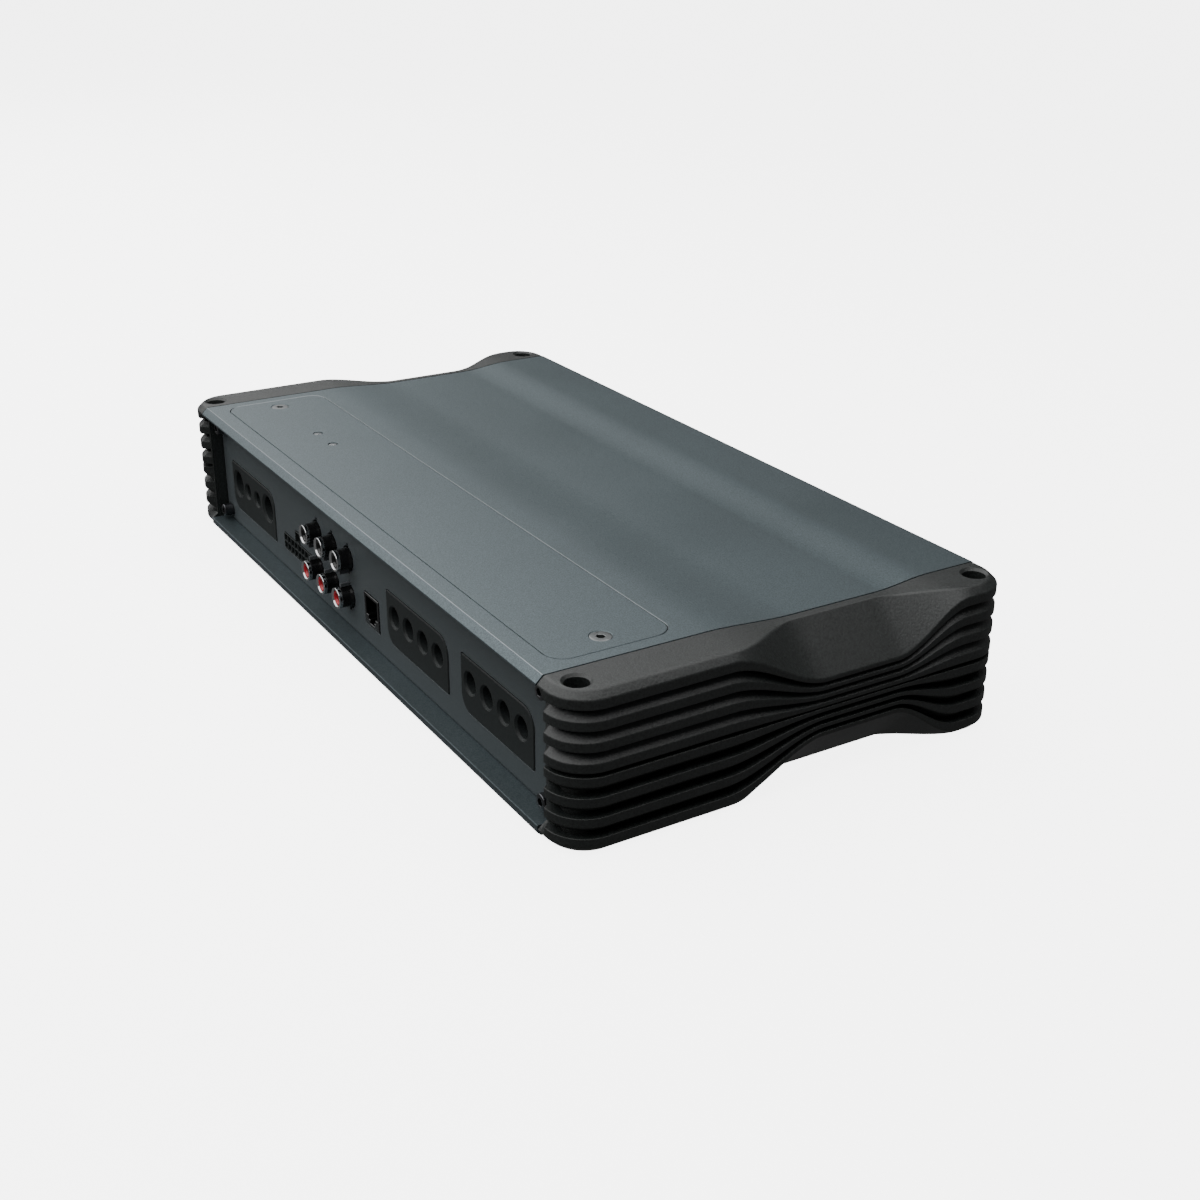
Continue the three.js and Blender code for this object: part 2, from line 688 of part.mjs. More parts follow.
function panelScrew(x, z) {
  const seat = PANEL_FRONT - FIT;
  const [shank, socket, tip] = [1.3, 1.2, -71.5];
  return turnedAcross([
    [0, tip],
    [shank, tip],
    [shank, seat],
    [3.3, seat],
    [2.9, seat - 1.5],
    [socket, seat - 2.3],
    [socket, seat - 1],
    [0, seat - 1],
  ], x, z, 10);
}

function indicatorLens(x) {
  return hole(x, INDICATOR_Y, INDICATOR_RADIUS, 51, HEIGHT - 0.1, 10);
}

// ---------------------------------------------------------------- boards and controls

function mainBoard() {
  const [halfWidth, front, rear] = [144, -69.6, 80];
  const board = polygon([[-halfWidth, front], [halfWidth, front], [halfWidth, rear], [-halfWidth, rear]]);
  board.holes.push(...POSTS.map(([x, y]) => circle(x, y, 1.7, 8)));
  return alongZ(board, BOARD_BOTTOM, BOARD_TOP);
}

function controlBoard() {
  const { x0, x1, y0, y1, thickness, legs } = CONTROL_BOARD;
  const half = 2;
  return join(
    box(x0, x1, y0, y1, CONTROL_TOP - thickness, CONTROL_TOP),
    legs.map((x) => box(x - half, x + half, y1 - 6, y1 - 2, BOARD_TOP + FIT, CONTROL_TOP - thickness / 2)),
  );
}

const KNOB_BASE = CONTROL_TOP + FIT + 5;

function gainPot(x) {
  return box(x - 5, x + 5, CONTROL_Y - 5.5, CONTROL_Y + 5.5, CONTROL_TOP + FIT, KNOB_BASE);
}

// A trimmer knob with a screwdriver slot.
function gainKnob(x) {
  const base = KNOB_BASE + FIT;
  const top = base + 6;
  const [halfSlot, slotDepth] = [0.5, 1.2];
  const knob = turnedUp([[0, base], [3.2, base], [3, top - 0.5], [2.6, top], [0, top]], x, CONTROL_Y);
  return cut(knob, [
    box(x - halfSlot, x + halfSlot, CONTROL_Y - 4, CONTROL_Y + 4, top - slotDepth, top + OVER),
  ]);
}

const SWITCH_FLOOR = CONTROL_TOP + 2.5;
const SWITCH_TOP = CONTROL_TOP + 5;

function slideSwitch(x) {
  const body = box(x - 6.5, x + 6.5, CONTROL_Y - 3.5, CONTROL_Y + 3.5, CONTROL_TOP + FIT, SWITCH_TOP);
  return cut(body, [
    box(x - 4.4, x + 4.4, CONTROL_Y - 1.6, CONTROL_Y + 1.6, SWITCH_FLOOR, SWITCH_TOP + OVER),
  ]);
}

function switchSlider(x) {
  return box(x - 1.4, x + 1.4, CONTROL_Y - 1.3, CONTROL_Y + 1.3, SWITCH_FLOOR + FIT, SWITCH_TOP + 3);
}

// ---------------------------------------------------------------- power supply pieces on the main board

const ON_BOARD = BOARD_TOP + FIT;

// A wound ring with rounded edges, lying flat on the board.
function woundRing(x, y, inner, outer, height) {
  const chamfer = height / 5;
  const top = ON_BOARD + height;
  return turnedUp([
    [inner, ON_BOARD + chamfer],
    [inner + chamfer, ON_BOARD],
    [outer - chamfer, ON_BOARD],
    [outer, ON_BOARD + chamfer],
    [outer, top - chamfer],
    [outer - chamfer, top],
    [inner + chamfer, top],
    [inner, top - chamfer],
    [inner, ON_BOARD + chamfer],
  ], x, y, 14);
}

function capacitor(x, y) {
  const [radius, top] = [9, ON_BOARD + 30];
  const profile = [[0, ON_BOARD], [radius, ON_BOARD], [radius, top - 1], [radius - 0.7, top], [0, top]];
  return turnedUp(profile, x, y);
}

// ---------------------------------------------------------------- assembly

add('top_shell', topShell(), FINISH.slatePaint);
add('bottom_plate', bottomPlate(), FINISH.slatePaint);
const rightCap = endCap();
add('right_end_cap', rightCap, FINISH.blackCasting);
add('left_end_cap', mirrored(rightCap), FINISH.blackCasting);
add('connection_panel', connectionPanel(), FINISH.panelPaint);

add('power_terminal_block', terminalBlock(POWER_BLOCK, powerTerminals), FINISH.blackPlastic);
powerTerminals.forEach(({ x, radius }, i) => {
  add(`power_set_screw_${i + 1}`, setScrew(x, POWER_BLOCK, radius - 1.2), FINISH.zinc);
});
SPEAKER_BLOCKS.forEach((block, b) => {
  const terminals = speakerTerminals(block);
  add(`speaker_terminal_block_${b + 1}`, terminalBlock(block, terminals), FINISH.blackPlastic);
  terminals.forEach(({ x }, i) => {
    add(`speaker_set_screw_${b * 4 + i + 1}`, setScrew(x, block, 3.3), FINISH.zinc);
  });
});

add('phono_jack_housing', jackHousing(), FINISH.blackPlastic);
JACK_Z.forEach((z, row) => {
  const rowName = ['upper', 'lower'][row];
  JACK_X.forEach((x, i) => {
    add(`phono_shell_${rowName}_${i + 1}`, jackShell(x, z), FINISH.chrome);
    const core = row ? FINISH.redPlastic : FINISH.blackPlastic;
    add(`phono_insulator_${rowName}_${i + 1}`, jackInsulator(x, z), core);
  });
});
add('signal_connector', signalConnector(), FINISH.blackPlastic);
add('network_jack', networkJack(), FINISH.blackPlastic);

add('access_cover', accessCover(), FINISH.slatePaint);
add('cover_screw_1', coverScrew(-COVER_SCREW_X), FINISH.zinc);
add('cover_screw_2', coverScrew(COVER_SCREW_X), FINISH.zinc);
INDICATORS_X.forEach((x, i) => add(`indicator_lens_${i + 1}`, indicatorLens(x), FINISH.clearPlastic));
[-PANEL_SCREW_X, PANEL_SCREW_X].forEach((x, i) => {
  PANEL_SCREW_Z.forEach((z, j) => {
    add(`panel_screw_${2 * i + j + 1}`, panelScrew(x, z), FINISH.blackScrew);
  });
});

add('main_circuit_board', mainBoard(), FINISH.greenBoard);
add('control_board', controlBoard(), FINISH.greenBoard);
KNOBS_X.forEach((x, i) => {
  add(`gain_pot_${i + 1}`, gainPot(x), FINISH.blackPlastic);
  add(`gain_knob_${i + 1}`, gainKnob(x), FINISH.greyPlastic);
});
SWITCHES_X.forEach((x, i) => {
  add(`crossover_switch_${i + 1}`, slideSwitch(x), FINISH.blackPlastic);
  add(`crossover_slider_${i + 1}`, switchSlider(x), FINISH.greyPlastic);
});
add('power_transformer', woundRing(-70, 15, 9, 21, 20), FINISH.copperWinding);
add('output_inductor', woundRing(50, 5, 5, 13, 14), FINISH.copperWinding);
add('supply_capacitor_1', capacitor(-112, 10), FINISH.capacitorSleeve);
add('supply_capacitor_2', capacitor(-112, 34), FINISH.capacitorSleeve);

export default amplifier;
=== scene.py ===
"""The looks of a car amplifier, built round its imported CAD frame. Sizes are in millimetres until
a mesh is made, and the frame's +X runs along the housing, -Y faces out of the connection panel."""

import math

import bmesh
import bpy
from mathutils import Matrix, Vector
from mathutils.geometry import tessellate_polygon


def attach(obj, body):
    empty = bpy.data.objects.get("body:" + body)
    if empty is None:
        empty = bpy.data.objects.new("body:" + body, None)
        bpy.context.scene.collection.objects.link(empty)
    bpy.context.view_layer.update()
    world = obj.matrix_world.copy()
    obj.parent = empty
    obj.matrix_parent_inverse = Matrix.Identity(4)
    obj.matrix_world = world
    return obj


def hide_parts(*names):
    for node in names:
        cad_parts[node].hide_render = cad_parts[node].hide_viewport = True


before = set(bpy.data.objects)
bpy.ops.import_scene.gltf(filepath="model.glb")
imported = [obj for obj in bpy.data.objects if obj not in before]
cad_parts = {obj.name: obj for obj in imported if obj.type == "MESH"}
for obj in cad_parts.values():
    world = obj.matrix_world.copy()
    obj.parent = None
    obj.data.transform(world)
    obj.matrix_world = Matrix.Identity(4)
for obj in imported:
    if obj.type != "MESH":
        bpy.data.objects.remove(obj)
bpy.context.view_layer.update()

bl_info = {
    "name": "Car amplifier",
    "version": (1, 0, 0),
    "blender": (4, 5, 0),
    "location": "View3D > Sidebar > Amplifier",
    "description": "Builds the visible pieces of a car amplifier round its CAD frame",
    "category": "Object",
}

MM = 0.001
CHASSIS = "chassis"

# ---------------------------------------------------------------- places fixed by the CAD frame, mm

COVER_SCREWS = ((-136, -56.2), (136, -56.2))
COVER_SCREW_HOLE = 1.9
INDICATORS = ((-92.7, -56), (-76.6, -56))
COVER_OUTLINE = (-145, 145, -78, -34)
BAY_OUTLINE = (-127, 127, -69.9, -38)
COVER_FLOOR = 52.3
FIT = 0.3
RAIL_FRONT, RAIL_REAR, RAIL_DROP = -76.7, -70.2, 42
PANEL_FRONT, PANEL_BOTTOM, PANEL_TOP = -79, 4.2, 51.6
PANEL_SCREWS_X, PANEL_SCREWS_Z = (-145, 145), (8.4, 46.6)
BLOCK_FACE, BLOCK_REAR = -79.3, -58
POWER_BLOCK = (-139, -88.5, 12, 33.2)
SPEAKER_BLOCKS = ((24.5, 74.4, 12.6, 33.3), (84.4, 134.3, 12.6, 33.3))
BLOCK_CORNERS = (6.5, 1.2, 6.5, 1.2)
BORE_Z, BORE_END = 24.3, -62
POWER_TERMINALS = ((-132, 5.2, 6.3), (-120.3, 3, 3.8), (-108.9, 3, 3.8), (-96.6, 5.2, 6.3))
SPEAKER_BORE, SPEAKER_SINK = 3.8, 4.5
SPEAKER_PITCH, SPEAKER_SHIFT = 11.8, -0.86
SET_SCREW_Y, SET_SCREW_RADIUS = -66, 2.3
JACK_X, JACK_Z = (-41.4, -26, -10.6), (32.6, 17.3)
CONNECTOR = (-78.6, -48.5, 13, 20)
LATCH = (-65.7, -61.1, 25)
NETWORK_JACK = (4, 16.8, 11.9, 24.8)
BOARD_BOTTOM, BOARD_TOP = 10, 11.5
POSTS = ((-138, -60), (138, -60), (-138, 72), (138, 72))
MOUNT_X, MOUNT_Y = 158.2, 77.9
CAP_POCKET = (6.6, 66, 8, 46)
CONTROL_TOP, CONTROL_Y = 37.6, -50
KNOBS_X, SWITCHES_X = (-55, -15, 25), (60, 95)


def speaker_terminals(place):
    """The four terminals of a speaker block, each as its X, its radius and its countersunk radius."""
    middle = (place[0] + place[1]) / 2 + SPEAKER_SHIFT
    return [(middle + (i - 1.5) * SPEAKER_PITCH, SPEAKER_BORE, SPEAKER_SINK) for i in range(4)]


# ---------------------------------------------------------------- sizes and colours to change


def linear(code):
    """An sRGB hex value as linear red, green and blue."""
    parts = [int(code[i : i + 2], 16) / 255 for i in (1, 3, 5)]
    return [c / 12.92 if c <= 0.04045 else ((c + 0.055) / 1.055) ** 2.4 for c in parts]


def length(name, description, millimetres):
    return bpy.props.FloatProperty(
        name=name, description=description, default=millimetres * MM, unit="LENGTH", precision=5
    )


def colour(name, description, code):
    return bpy.props.FloatVectorProperty(
        name=name, description=description, default=linear(code), subtype="COLOR", min=0, max=1
    )


class AmplifierSizes(bpy.types.PropertyGroup):
    shell_length: length("Extrusion length", "From one end cap to the other", 300)
    depth: length("Depth", "From the front lip to the rear wall", 174.2)
    height: length("Height", "From the underside to the flat of the top", 55)
    edge_chamfer: length("Edge chamfer", "Chamfer along the extrusion's long edges", 2.4)
    foot_chamfer: length("Foot chamfer", "Chamfer along the bottom of the front lip", 1.4)
    wave_dip: length("Trough depth", "How far the top dips along its middle", 1.8)
    cap_length: length("End cap length", "How far an end cap stands past the joint", 17.9)
    cap_corner: length("End cap corner", "Radius of an end cap's upright corners", 14)
    fin_pitch: length("Fin pitch", "From one fin to the next", 7)
    fin_gap: length("Fin gap", "Height of the slot between two fins", 1.5)
    fin_face: length("Fin face", "Height of a fin's upright edge", 3.1)
    fin_depth: length("Fin depth", "How far the slots run into an end cap", 6.6)
    fin_bevel: length("Fin bevel", "How far in a fin's bevelled side runs", 2.6)
    fin_edge: length("Fin edge round", "Radius of the cast edges", 0.28)
    waist: bpy.props.FloatProperty(
        name="Waist", description="Share of the fin stack's height that the waist takes",
        default=0.585, min=0, max=0.8, subtype="FACTOR",
    )
    apron_reach: length("Apron reach", "How far the sloped apron runs in over the waist", 14)
    cover_corner: length("Cover corner", "Radius of the access cover's corners", 7)
    cover_chamfer: length("Cover chamfer", "Chamfer round the access cover", 0.09)


class AmplifierColours(bpy.types.PropertyGroup):
    slate: colour("Housing coat", "Satin coat on the extrusion and access cover", "#5e696d")
    casting: colour("End cap coat", "Textured coat on the end caps", "#222625")
    panel: colour("Panel coat", "Matt coat on the connection panel", "#5d6467")
    nylon: colour("Terminal plastic", "Terminal blocks and connectors", "#2f3333")
    jack_black: colour("Jack plastic", "Phono housing and upper inserts", "#151516")
    jack_red: colour("Red plastic", "Lower phono inserts", "#c3212f")
    rib_grey: colour("Rib plastic", "Key ribs of the phono jacks", "#5d6164")
    knob_grey: colour("Knob plastic", "Gain knobs and switch sliders", "#8d9092")
    solder_mask: colour("Solder mask", "Circuit boards", "#1c4a35")
    sleeve: colour("Capacitor sleeve", "Shrink sleeve of the capacitors", "#1d2230")
    enamel: colour("Winding enamel", "Enamelled copper wire", "#a5562a")
    floor: colour("Floor", "The studio floor", "#f1f1f0")


def size(name):
    """A size property in millimetres."""
    return getattr(bpy.context.scene.amplifier_sizes, name) / MM


# ---------------------------------------------------------------- node helper and materials


def add_node(tree, kind, inputs=None, **settings):
    """Adds one node. Inputs are values or the output sockets that they are linked to."""
    made = tree.nodes.new(kind)
    for key, value in settings.items():
        setattr(made, key, value)
    for key, value in (inputs or {}).items():
        if isinstance(value, bpy.types.NodeSocket):
            tree.links.new(value, made.inputs[key])
        else:
            made.inputs[key].default_value = value
    return made


def shade(rgb, factor):
    return (*(min(1.0, c * factor) for c in rgb), 1.0)


def blank_material(name):
    """A new material with an empty tree, that tree, and its Object coordinates."""
    made = bpy.data.materials.new(name)
    made.use_nodes = True
    made.node_tree.nodes.clear()
    place = add_node(made.node_tree, "ShaderNodeTexCoord")
    return made, made.node_tree, place.outputs["Object"]


def grained(name, rgb, roughness, metallic=0.0, grain=0.6, contrast=0.12, depth=0.02, patch=30.0,
            stretch=(1, 1, 1), swing=0.06, **shader):
    """A coat or moulding whose colour and height vary with a fine grain and broad patches.

    Grain and patch are sizes in mm, depth is the relief in mm, swing is how far roughness goes."""
    made, tree, place = blank_material(name)
    along = add_node(tree, "ShaderNodeMapping", {"Vector": place, "Scale": stretch})
    fine = add_node(tree, "ShaderNodeTexNoise", {
        "Vector": along.outputs["Vector"], "Scale": 1 / (grain * MM), "Detail": 3.0, "Roughness": 0.62})
    broad = add_node(tree, "ShaderNodeTexNoise", {
        "Vector": place, "Scale": 1 / (patch * MM), "Detail": 2.0})
    tone = add_node(tree, "ShaderNodeValToRGB", {"Fac": fine.outputs["Fac"]})
    tone.color_ramp.elements[0].position = 0.3
    tone.color_ramp.elements[1].position = 0.7
    tone.color_ramp.elements[0].color = shade(rgb, 1 - contrast)
    tone.color_ramp.elements[1].color = shade(rgb, 1 + contrast)
    worn = add_node(tree, "ShaderNodeValToRGB", {"Fac": broad.outputs["Fac"]})
    worn.color_ramp.elements[0].color = (0.93, 0.93, 0.93, 1)
    worn.color_ramp.elements[1].color = (1, 1, 1, 1)
    # A Mix node's sockets 0, 6, 7 and 2 are its factor, its two colours and its mixed colour.
    mixed = add_node(tree, "ShaderNodeMix", {
        0: 1.0, 6: tone.outputs["Color"], 7: worn.outputs["Color"]},
        data_type="RGBA", blend_type="MULTIPLY")
    rough = add_node(tree, "ShaderNodeMapRange", {
        "Value": broad.outputs["Fac"], "From Min": 0.3, "From Max": 0.7,
        "To Min": roughness - swing, "To Max": roughness + swing})
    bump = add_node(tree, "ShaderNodeBump", {
        "Height": fine.outputs["Fac"], "Distance": depth * MM, "Strength": 1.0})
    surface = add_node(tree, "ShaderNodeBsdfPrincipled", {
        "Base Color": mixed.outputs[2], "Roughness": rough.outputs["Result"], "Metallic": metallic,
        "Normal": bump.outputs["Normal"], **shader})
    add_node(tree, "ShaderNodeOutputMaterial", {"Surface": surface.outputs["BSDF"]})
    return made


def metal(name, rgb, roughness, grain, stretch=(1, 1, 1), depth=0.004, swing=0.05):
    """A bare or plated metal with fine marks. Grain is their size in mm, longest where stretch is small."""
    return grained(name, rgb, roughness, 1.0, grain, 0.05, depth, 12.0, stretch, swing)


def board_material(name, rgb):
    """Copper tracks show as raised, lighter runs under the green mask, with tinned pads between."""
    made, tree, place = blank_material(name)
    tracks = add_node(tree, "ShaderNodeTexBrick", {
        "Vector": place, "Scale": 1 / (9 * MM), "Mortar Size": 0.06,
        "Color1": shade(rgb, 0.8), "Color2": shade(rgb, 1.15), "Mortar": shade(rgb, 1.7)})
    pads = add_node(tree, "ShaderNodeTexVoronoi", {
        "Vector": place, "Scale": 1 / (5 * MM), "Randomness": 0.75})
    dots = add_node(tree, "ShaderNodeMath", {0: pads.outputs["Distance"], 1: 0.16}, operation="LESS_THAN")
    tin = (0.55, 0.56, 0.55, 1)
    mixed = add_node(tree, "ShaderNodeMix", {
        0: dots.outputs["Value"], 6: tracks.outputs["Color"], 7: tin}, data_type="RGBA")
    bump = add_node(tree, "ShaderNodeBump", {"Height": tracks.outputs["Fac"], "Distance": 0.03 * MM})
    surface = add_node(tree, "ShaderNodeBsdfPrincipled", {
        "Base Color": mixed.outputs[2], "Roughness": 0.32, "Normal": bump.outputs["Normal"]})
    add_node(tree, "ShaderNodeOutputMaterial", {"Surface": surface.outputs["BSDF"]})
    return made


def clear_material(name):
    """Moulded clear acrylic: light goes in, and faint flow marks show on the face."""
    return grained(name, (0.42, 0.45, 0.47), 0.16, 0.0, 0.5, 0.03, 0.003, 4.0, swing=0.04,
                   **{"Transmission Weight": 0.65, "IOR": 1.49})


# A dry surface gives back less of a sharp reflection than a polished one.
DRY = {"Specular IOR Level": 0.25}


def make_material(key, colours):
    # Polyester powder coat with a fine metal flake over extruded aluminium, baked: satin, faintly
    # sparkling, with a soft sheen that follows the wave. The flake is drawn at 0.45 mm to show.
    if key == "slate_flake_powder_coat":
        return grained(key, colours.slate, 0.4, 0.62, 0.45, 0.34, 0.014, 60.0, swing=0.02)
    # Textured powder coat sprayed on cast aluminium: dark, dry, with a sand-like grain of 0.75 mm.
    if key == "textured_powder_coat_on_casting":
        return grained(key, colours.casting, 0.46, 0.0, 0.75, 0.6, 0.13, 25.0, swing=0.04,
                       **{"Specular IOR Level": 0.7})
    # Matt powder coat over sheet aluminium: flat and even, with a very fine grain.
    if key == "matt_powder_coat_on_sheet":
        return grained(key, colours.panel, 0.5, 0.2, 0.5, 0.08, 0.010, 40.0, swing=0.04, **DRY)
    # Glass-filled nylon, moulded in a spark-eroded tool: charcoal and dry.
    if key == "glass_filled_nylon_moulded":
        return grained(key, colours.nylon, 0.52, 0.0, 0.45, 0.12, 0.012, 18.0, **DRY)
    # ABS, moulded in polished tools: black, red and grey, with a soft gloss.
    if key == "black_abs_moulded":
        return grained(key, colours.jack_black, 0.22, 0.0, 0.5, 0.08, 0.004, 9.0)
    if key == "red_abs_moulded":
        return grained(key, colours.jack_red, 0.32, 0.0, 0.5, 0.06, 0.004, 9.0)
    if key == "grey_abs_moulded":
        return grained(key, colours.rib_grey, 0.4, 0.0, 0.5, 0.06, 0.004, 9.0)
    # Nylon, moulded in a plain tool: pale grey and dry.
    if key == "grey_nylon_moulded":
        return grained(key, colours.knob_grey, 0.45, 0.0, 0.4, 0.08, 0.008, 6.0)
    # Aluminium milled bare after coating: lighter than the coat, with fine cutter marks along the cut.
    # Its lighter tone also paints highlight lines along the front arris and the cover's groove.
    if key == "milled_aluminium":
        return metal(key, linear("#9aa0a3"), 0.36, 0.3, (0.2, 1, 1), 0.004)
    # Turned steel under nickel and chrome plate: bright and mirror-like with faint turning rings.
    if key == "chrome_plate_on_turned_steel":
        return metal(key, linear("#e2e3e4"), 0.1, 0.25, (1, 6, 1), 0.002, 0.03)
    # Nickel plate over cold-headed steel: a slightly dull grey.
    if key == "nickel_plate_on_headed_steel":
        return metal(key, linear("#7c7f80"), 0.36, 0.3, swing=0.06)
    # Black zinc over cold-headed steel: near black with soft metallic lights.
    if key == "black_zinc_on_headed_steel":
        return metal(key, linear("#636467"), 0.28, 0.3, swing=0.08)
    # Tin plate on stamped brass: pale and softly bright.
    if key == "tin_plate_on_brass":
        return metal(key, linear("#c9c8c4"), 0.3, 0.2, swing=0.08)
    # Gold flash on spring contacts: yellow and bright.
    if key == "gold_flash_on_contacts":
        return metal(key, linear("#d6ab5a"), 0.25, 0.2, swing=0.06)
    # Glass-epoxy board under glossy solder mask: deep green, with lighter tracks.
    if key == "solder_mask_on_glass_epoxy":
        return board_material(key, colours.solder_mask)
    # Enamelled copper wire, wound: glossy brown turns.
    if key == "enamelled_copper_wire":
        return grained(key, colours.enamel, 0.26, 0.75, 0.8, 0.15, 0.01, 10.0)
    # Ferrite, pressed and sintered: dark grey and dry.
    if key == "sintered_ferrite":
        return grained(key, linear("#34363a"), 0.6, 0.0, 0.5, 0.2, 0.03, 10.0)
    # PVC shrink sleeve over a drawn can: glossy and slightly uneven.
    if key == "pvc_shrink_sleeve":
        return grained(key, colours.sleeve, 0.3, 0.0, 2.5, 0.08, 0.03, 12.0)
    # Aluminium drawn into a can: bright, with fine rings on its top.
    if key == "drawn_aluminium":
        return metal(key, linear("#c4c6c8"), 0.3, 0.3, (1, 6, 1))
    # Filled epoxy, moulded round a chip: black and dry.
    if key == "moulded_epoxy_package":
        return grained(key, linear("#1e1e20"), 0.5, 0.0, 0.3, 0.15, 0.01, 5.0)
    if key == "clear_acrylic_moulded":
        return clear_material(key)
    # Matt paper sweep under the part, with a trace of mottling. It glows, so that it stays pale.
    if key == "studio_paper":
        return grained(key, colours.floor, 0.85, 0.0, 3.0, 0.01, 0.02, 300.0, swing=0.02,
                       **{"Emission Color": (1, 1, 1, 1), "Emission Strength": 5.0})
    raise ValueError(f"no finish is called {key}")


def material(key):
    return bpy.data.materials.get(key) or make_material(key, bpy.context.scene.amplifier_colours)


# ---------------------------------------------------------------- outlines


def spread(start, end, count):
    return [start + (end - start) * i / count for i in range(count + 1)]


def rise(value, start, end):
    """Smooth 0 to 1 as value runs between two limits."""
    t = min(1.0, max(0.0, (value - start) / (end - start)))
    return t * t * (3 - 2 * t)


def arc(u, v, radius, start, end, count):
    return [(u + radius * math.cos(a), v + radius * math.sin(a)) for a in spread(start, end, count)]


def circle(u, v, radius, count=48):
    return arc(u, v, radius, 0, math.tau * (1 - 1 / count), count - 1)


def hexagon(u, v, across_flats):
    return circle(u, v, across_flats / math.sqrt(3), 6)


def rectangle(u0, u1, v0, v1):
    return [(u0, v0), (u1, v0), (u1, v1), (u0, v1)]


def rounded_rectangle(u0, u1, v0, v1, radii, count=10):
    """Counter-clockwise, with a radius for the lower left, lower right, upper right and upper left."""
    a, b, c, d = radii if hasattr(radii, "__len__") else (radii,) * 4
    quarter = math.pi / 2
    return [
        *arc(u1 - b, v0 + b, b, -quarter, 0, count),
        *arc(u1 - c, v1 - c, c, 0, quarter, count),
        *arc(u0 + d, v1 - d, d, quarter, 2 * quarter, count),
        *arc(u0 + a, v0 + a, a, 2 * quarter, 3 * quarter, count),
    ]


def grown(outline, amount):
    """The outline moved outwards, or inwards where amount is negative. It runs counter-clockwise."""
    moved = []
    for i, point in enumerate(outline):
        here = Vector(point)
        before = (here - Vector(outline[i - 1])).normalized()
        after = (Vector(outline[(i + 1) % len(outline)]) - here).normalized()
        n1, n2 = Vector((before.y, -before.x)), Vector((after.y, -after.x))
        moved.append(tuple(here + (n1 + n2) * (amount / (1 + n1.dot(n2)))))
    return moved


def rounded_line(corners, steps=3):
    """An open line through corners (u, v, radius), each turned into a curve of steps parts."""
    points = []
    for i, (u, v, radius) in enumerate(corners):
        if radius <= 0 or i in (0, len(corners) - 1):
            points.append((u, v))
            continue
        here = Vector((u, v))
        back = Vector(corners[i - 1][:2]) - here
        ahead = Vector(corners[i + 1][:2]) - here
        reach = min(radius, 0.48 * back.length, 0.48 * ahead.length)
        a, b = here + back.normalized() * reach, here + ahead.normalized() * reach
        for t in spread(0, 1, steps):
            points.append(tuple(a * (1 - t) ** 2 + here * 2 * t * (1 - t) + b * t * t))
    return points


# ---------------------------------------------------------------- meshes


def flat(u, v, w):
    return (u, v, w)


def upright(u, v, w):
    """For outlines in X and Z whose levels run along Y."""
    return (u, w, v)


def lengthwise(u, v, w):
    return (w, u, v)


def slab(outline, levels, holes=(), place=flat):
    """A closed plate, block or screw. Levels are (w, growth of the outline) from one face to the other.
    A hole is (outline, levels, has a floor), and its levels start at the first face."""
    vertices, faces = [], []

    def rings_of(points, steps):
        rings = []
        for w, growth in steps:
            ring = grown(points, growth) if growth else points
            start = len(vertices)
            vertices.extend(place(u, v, w) for u, v in ring)
            rings.append((range(start, start + len(ring)), ring))
        for (low, _), (high, _) in zip(rings, rings[1:]):
            faces.extend((low[i - 1], low[i], high[i], high[i - 1]) for i in range(len(low)))
        return rings

    def lid(rings):
        index = [i for ring, _ in rings for i in ring]
        loops = [[Vector((u, v, 0)) for u, v in ring] for _, ring in rings]
        faces.extend(tuple(index[i] for i in triangle) for triangle in tessellate_polygon(loops))

    outer = rings_of(outline, levels)
    inner = [(rings_of(points, steps), floor) for points, steps, floor in holes]
    lid([outer[0]] + [rings[0] for rings, _ in inner])
    lid([outer[-1]] + [rings[-1] for rings, floor in inner if not floor])
    for rings, floor in inner:
        if floor:
            faces.append(tuple(rings[-1][0]))
    return vertices, faces


def lathe(profile, centre, place=flat, count=48):
    """A turned piece about the line of levels at centre. The profile holds (radius, level)."""
    vertices, faces = [], []
    for radius, w in profile:
        points = circle(*centre, radius, count) if radius else [centre] * count
        vertices.extend(place(u, v, w) for u, v in points)
    for j in range(len(profile) - 1):
        for i in range(count):
            k = (i + 1) % count
            faces.append((j * count + i, j * count + k, (j + 1) * count + k, (j + 1) * count + i))
    return vertices, faces


def block(x0, x1, y0, y1, z0, z1, chamfer=0.0):
    levels = [(z0, -chamfer), (z0 + chamfer, 0), (z1 - chamfer, 0), (z1, -chamfer)]
    return slab(rectangle(x0, x1, y0, y1), levels if chamfer else [(z0, 0), (z1, 0)])


def joined(*shapes):
    vertices, faces = [], []
    for more_vertices, more_faces in shapes:
        start = len(vertices)
        vertices.extend(more_vertices)
        faces.extend(tuple(i + start for i in face) for face in more_faces)
    return vertices, faces


def mirrored(shape):
    return [(-x, y, z) for x, y, z in shape[0]], shape[1]


def new_object(name, shape, closed=True):
    """A mesh object at the origin, in metres, with doubles merged, holes filled and faces outwards."""
    mesh = bpy.data.meshes.new(name)
    mesh.from_pydata([[c * MM for c in v] for v in shape[0]], [], shape[1])
    made = bmesh.new()
    made.from_mesh(mesh)
    bmesh.ops.remove_doubles(made, verts=made.verts, dist=1e-7)
    bmesh.ops.dissolve_degenerate(made, edges=made.edges, dist=1e-7)
    if closed:
        bmesh.ops.holes_fill(made, edges=[e for e in made.edges if e.is_boundary], sides=0)
    bmesh.ops.recalc_face_normals(made, faces=made.faces)
    made.to_mesh(mesh)
    made.free()
    obj = bpy.data.objects.new(name, mesh)
    bpy.context.scene.collection.objects.link(obj)
    return obj


def applied(obj):
    """Turns the evaluated object into its plain mesh and removes its modifiers."""
    graph = bpy.context.evaluated_depsgraph_get()
    mesh = bpy.data.meshes.new_from_object(obj.evaluated_get(graph))
    obj.modifiers.clear()
    obj.data = mesh
    return obj


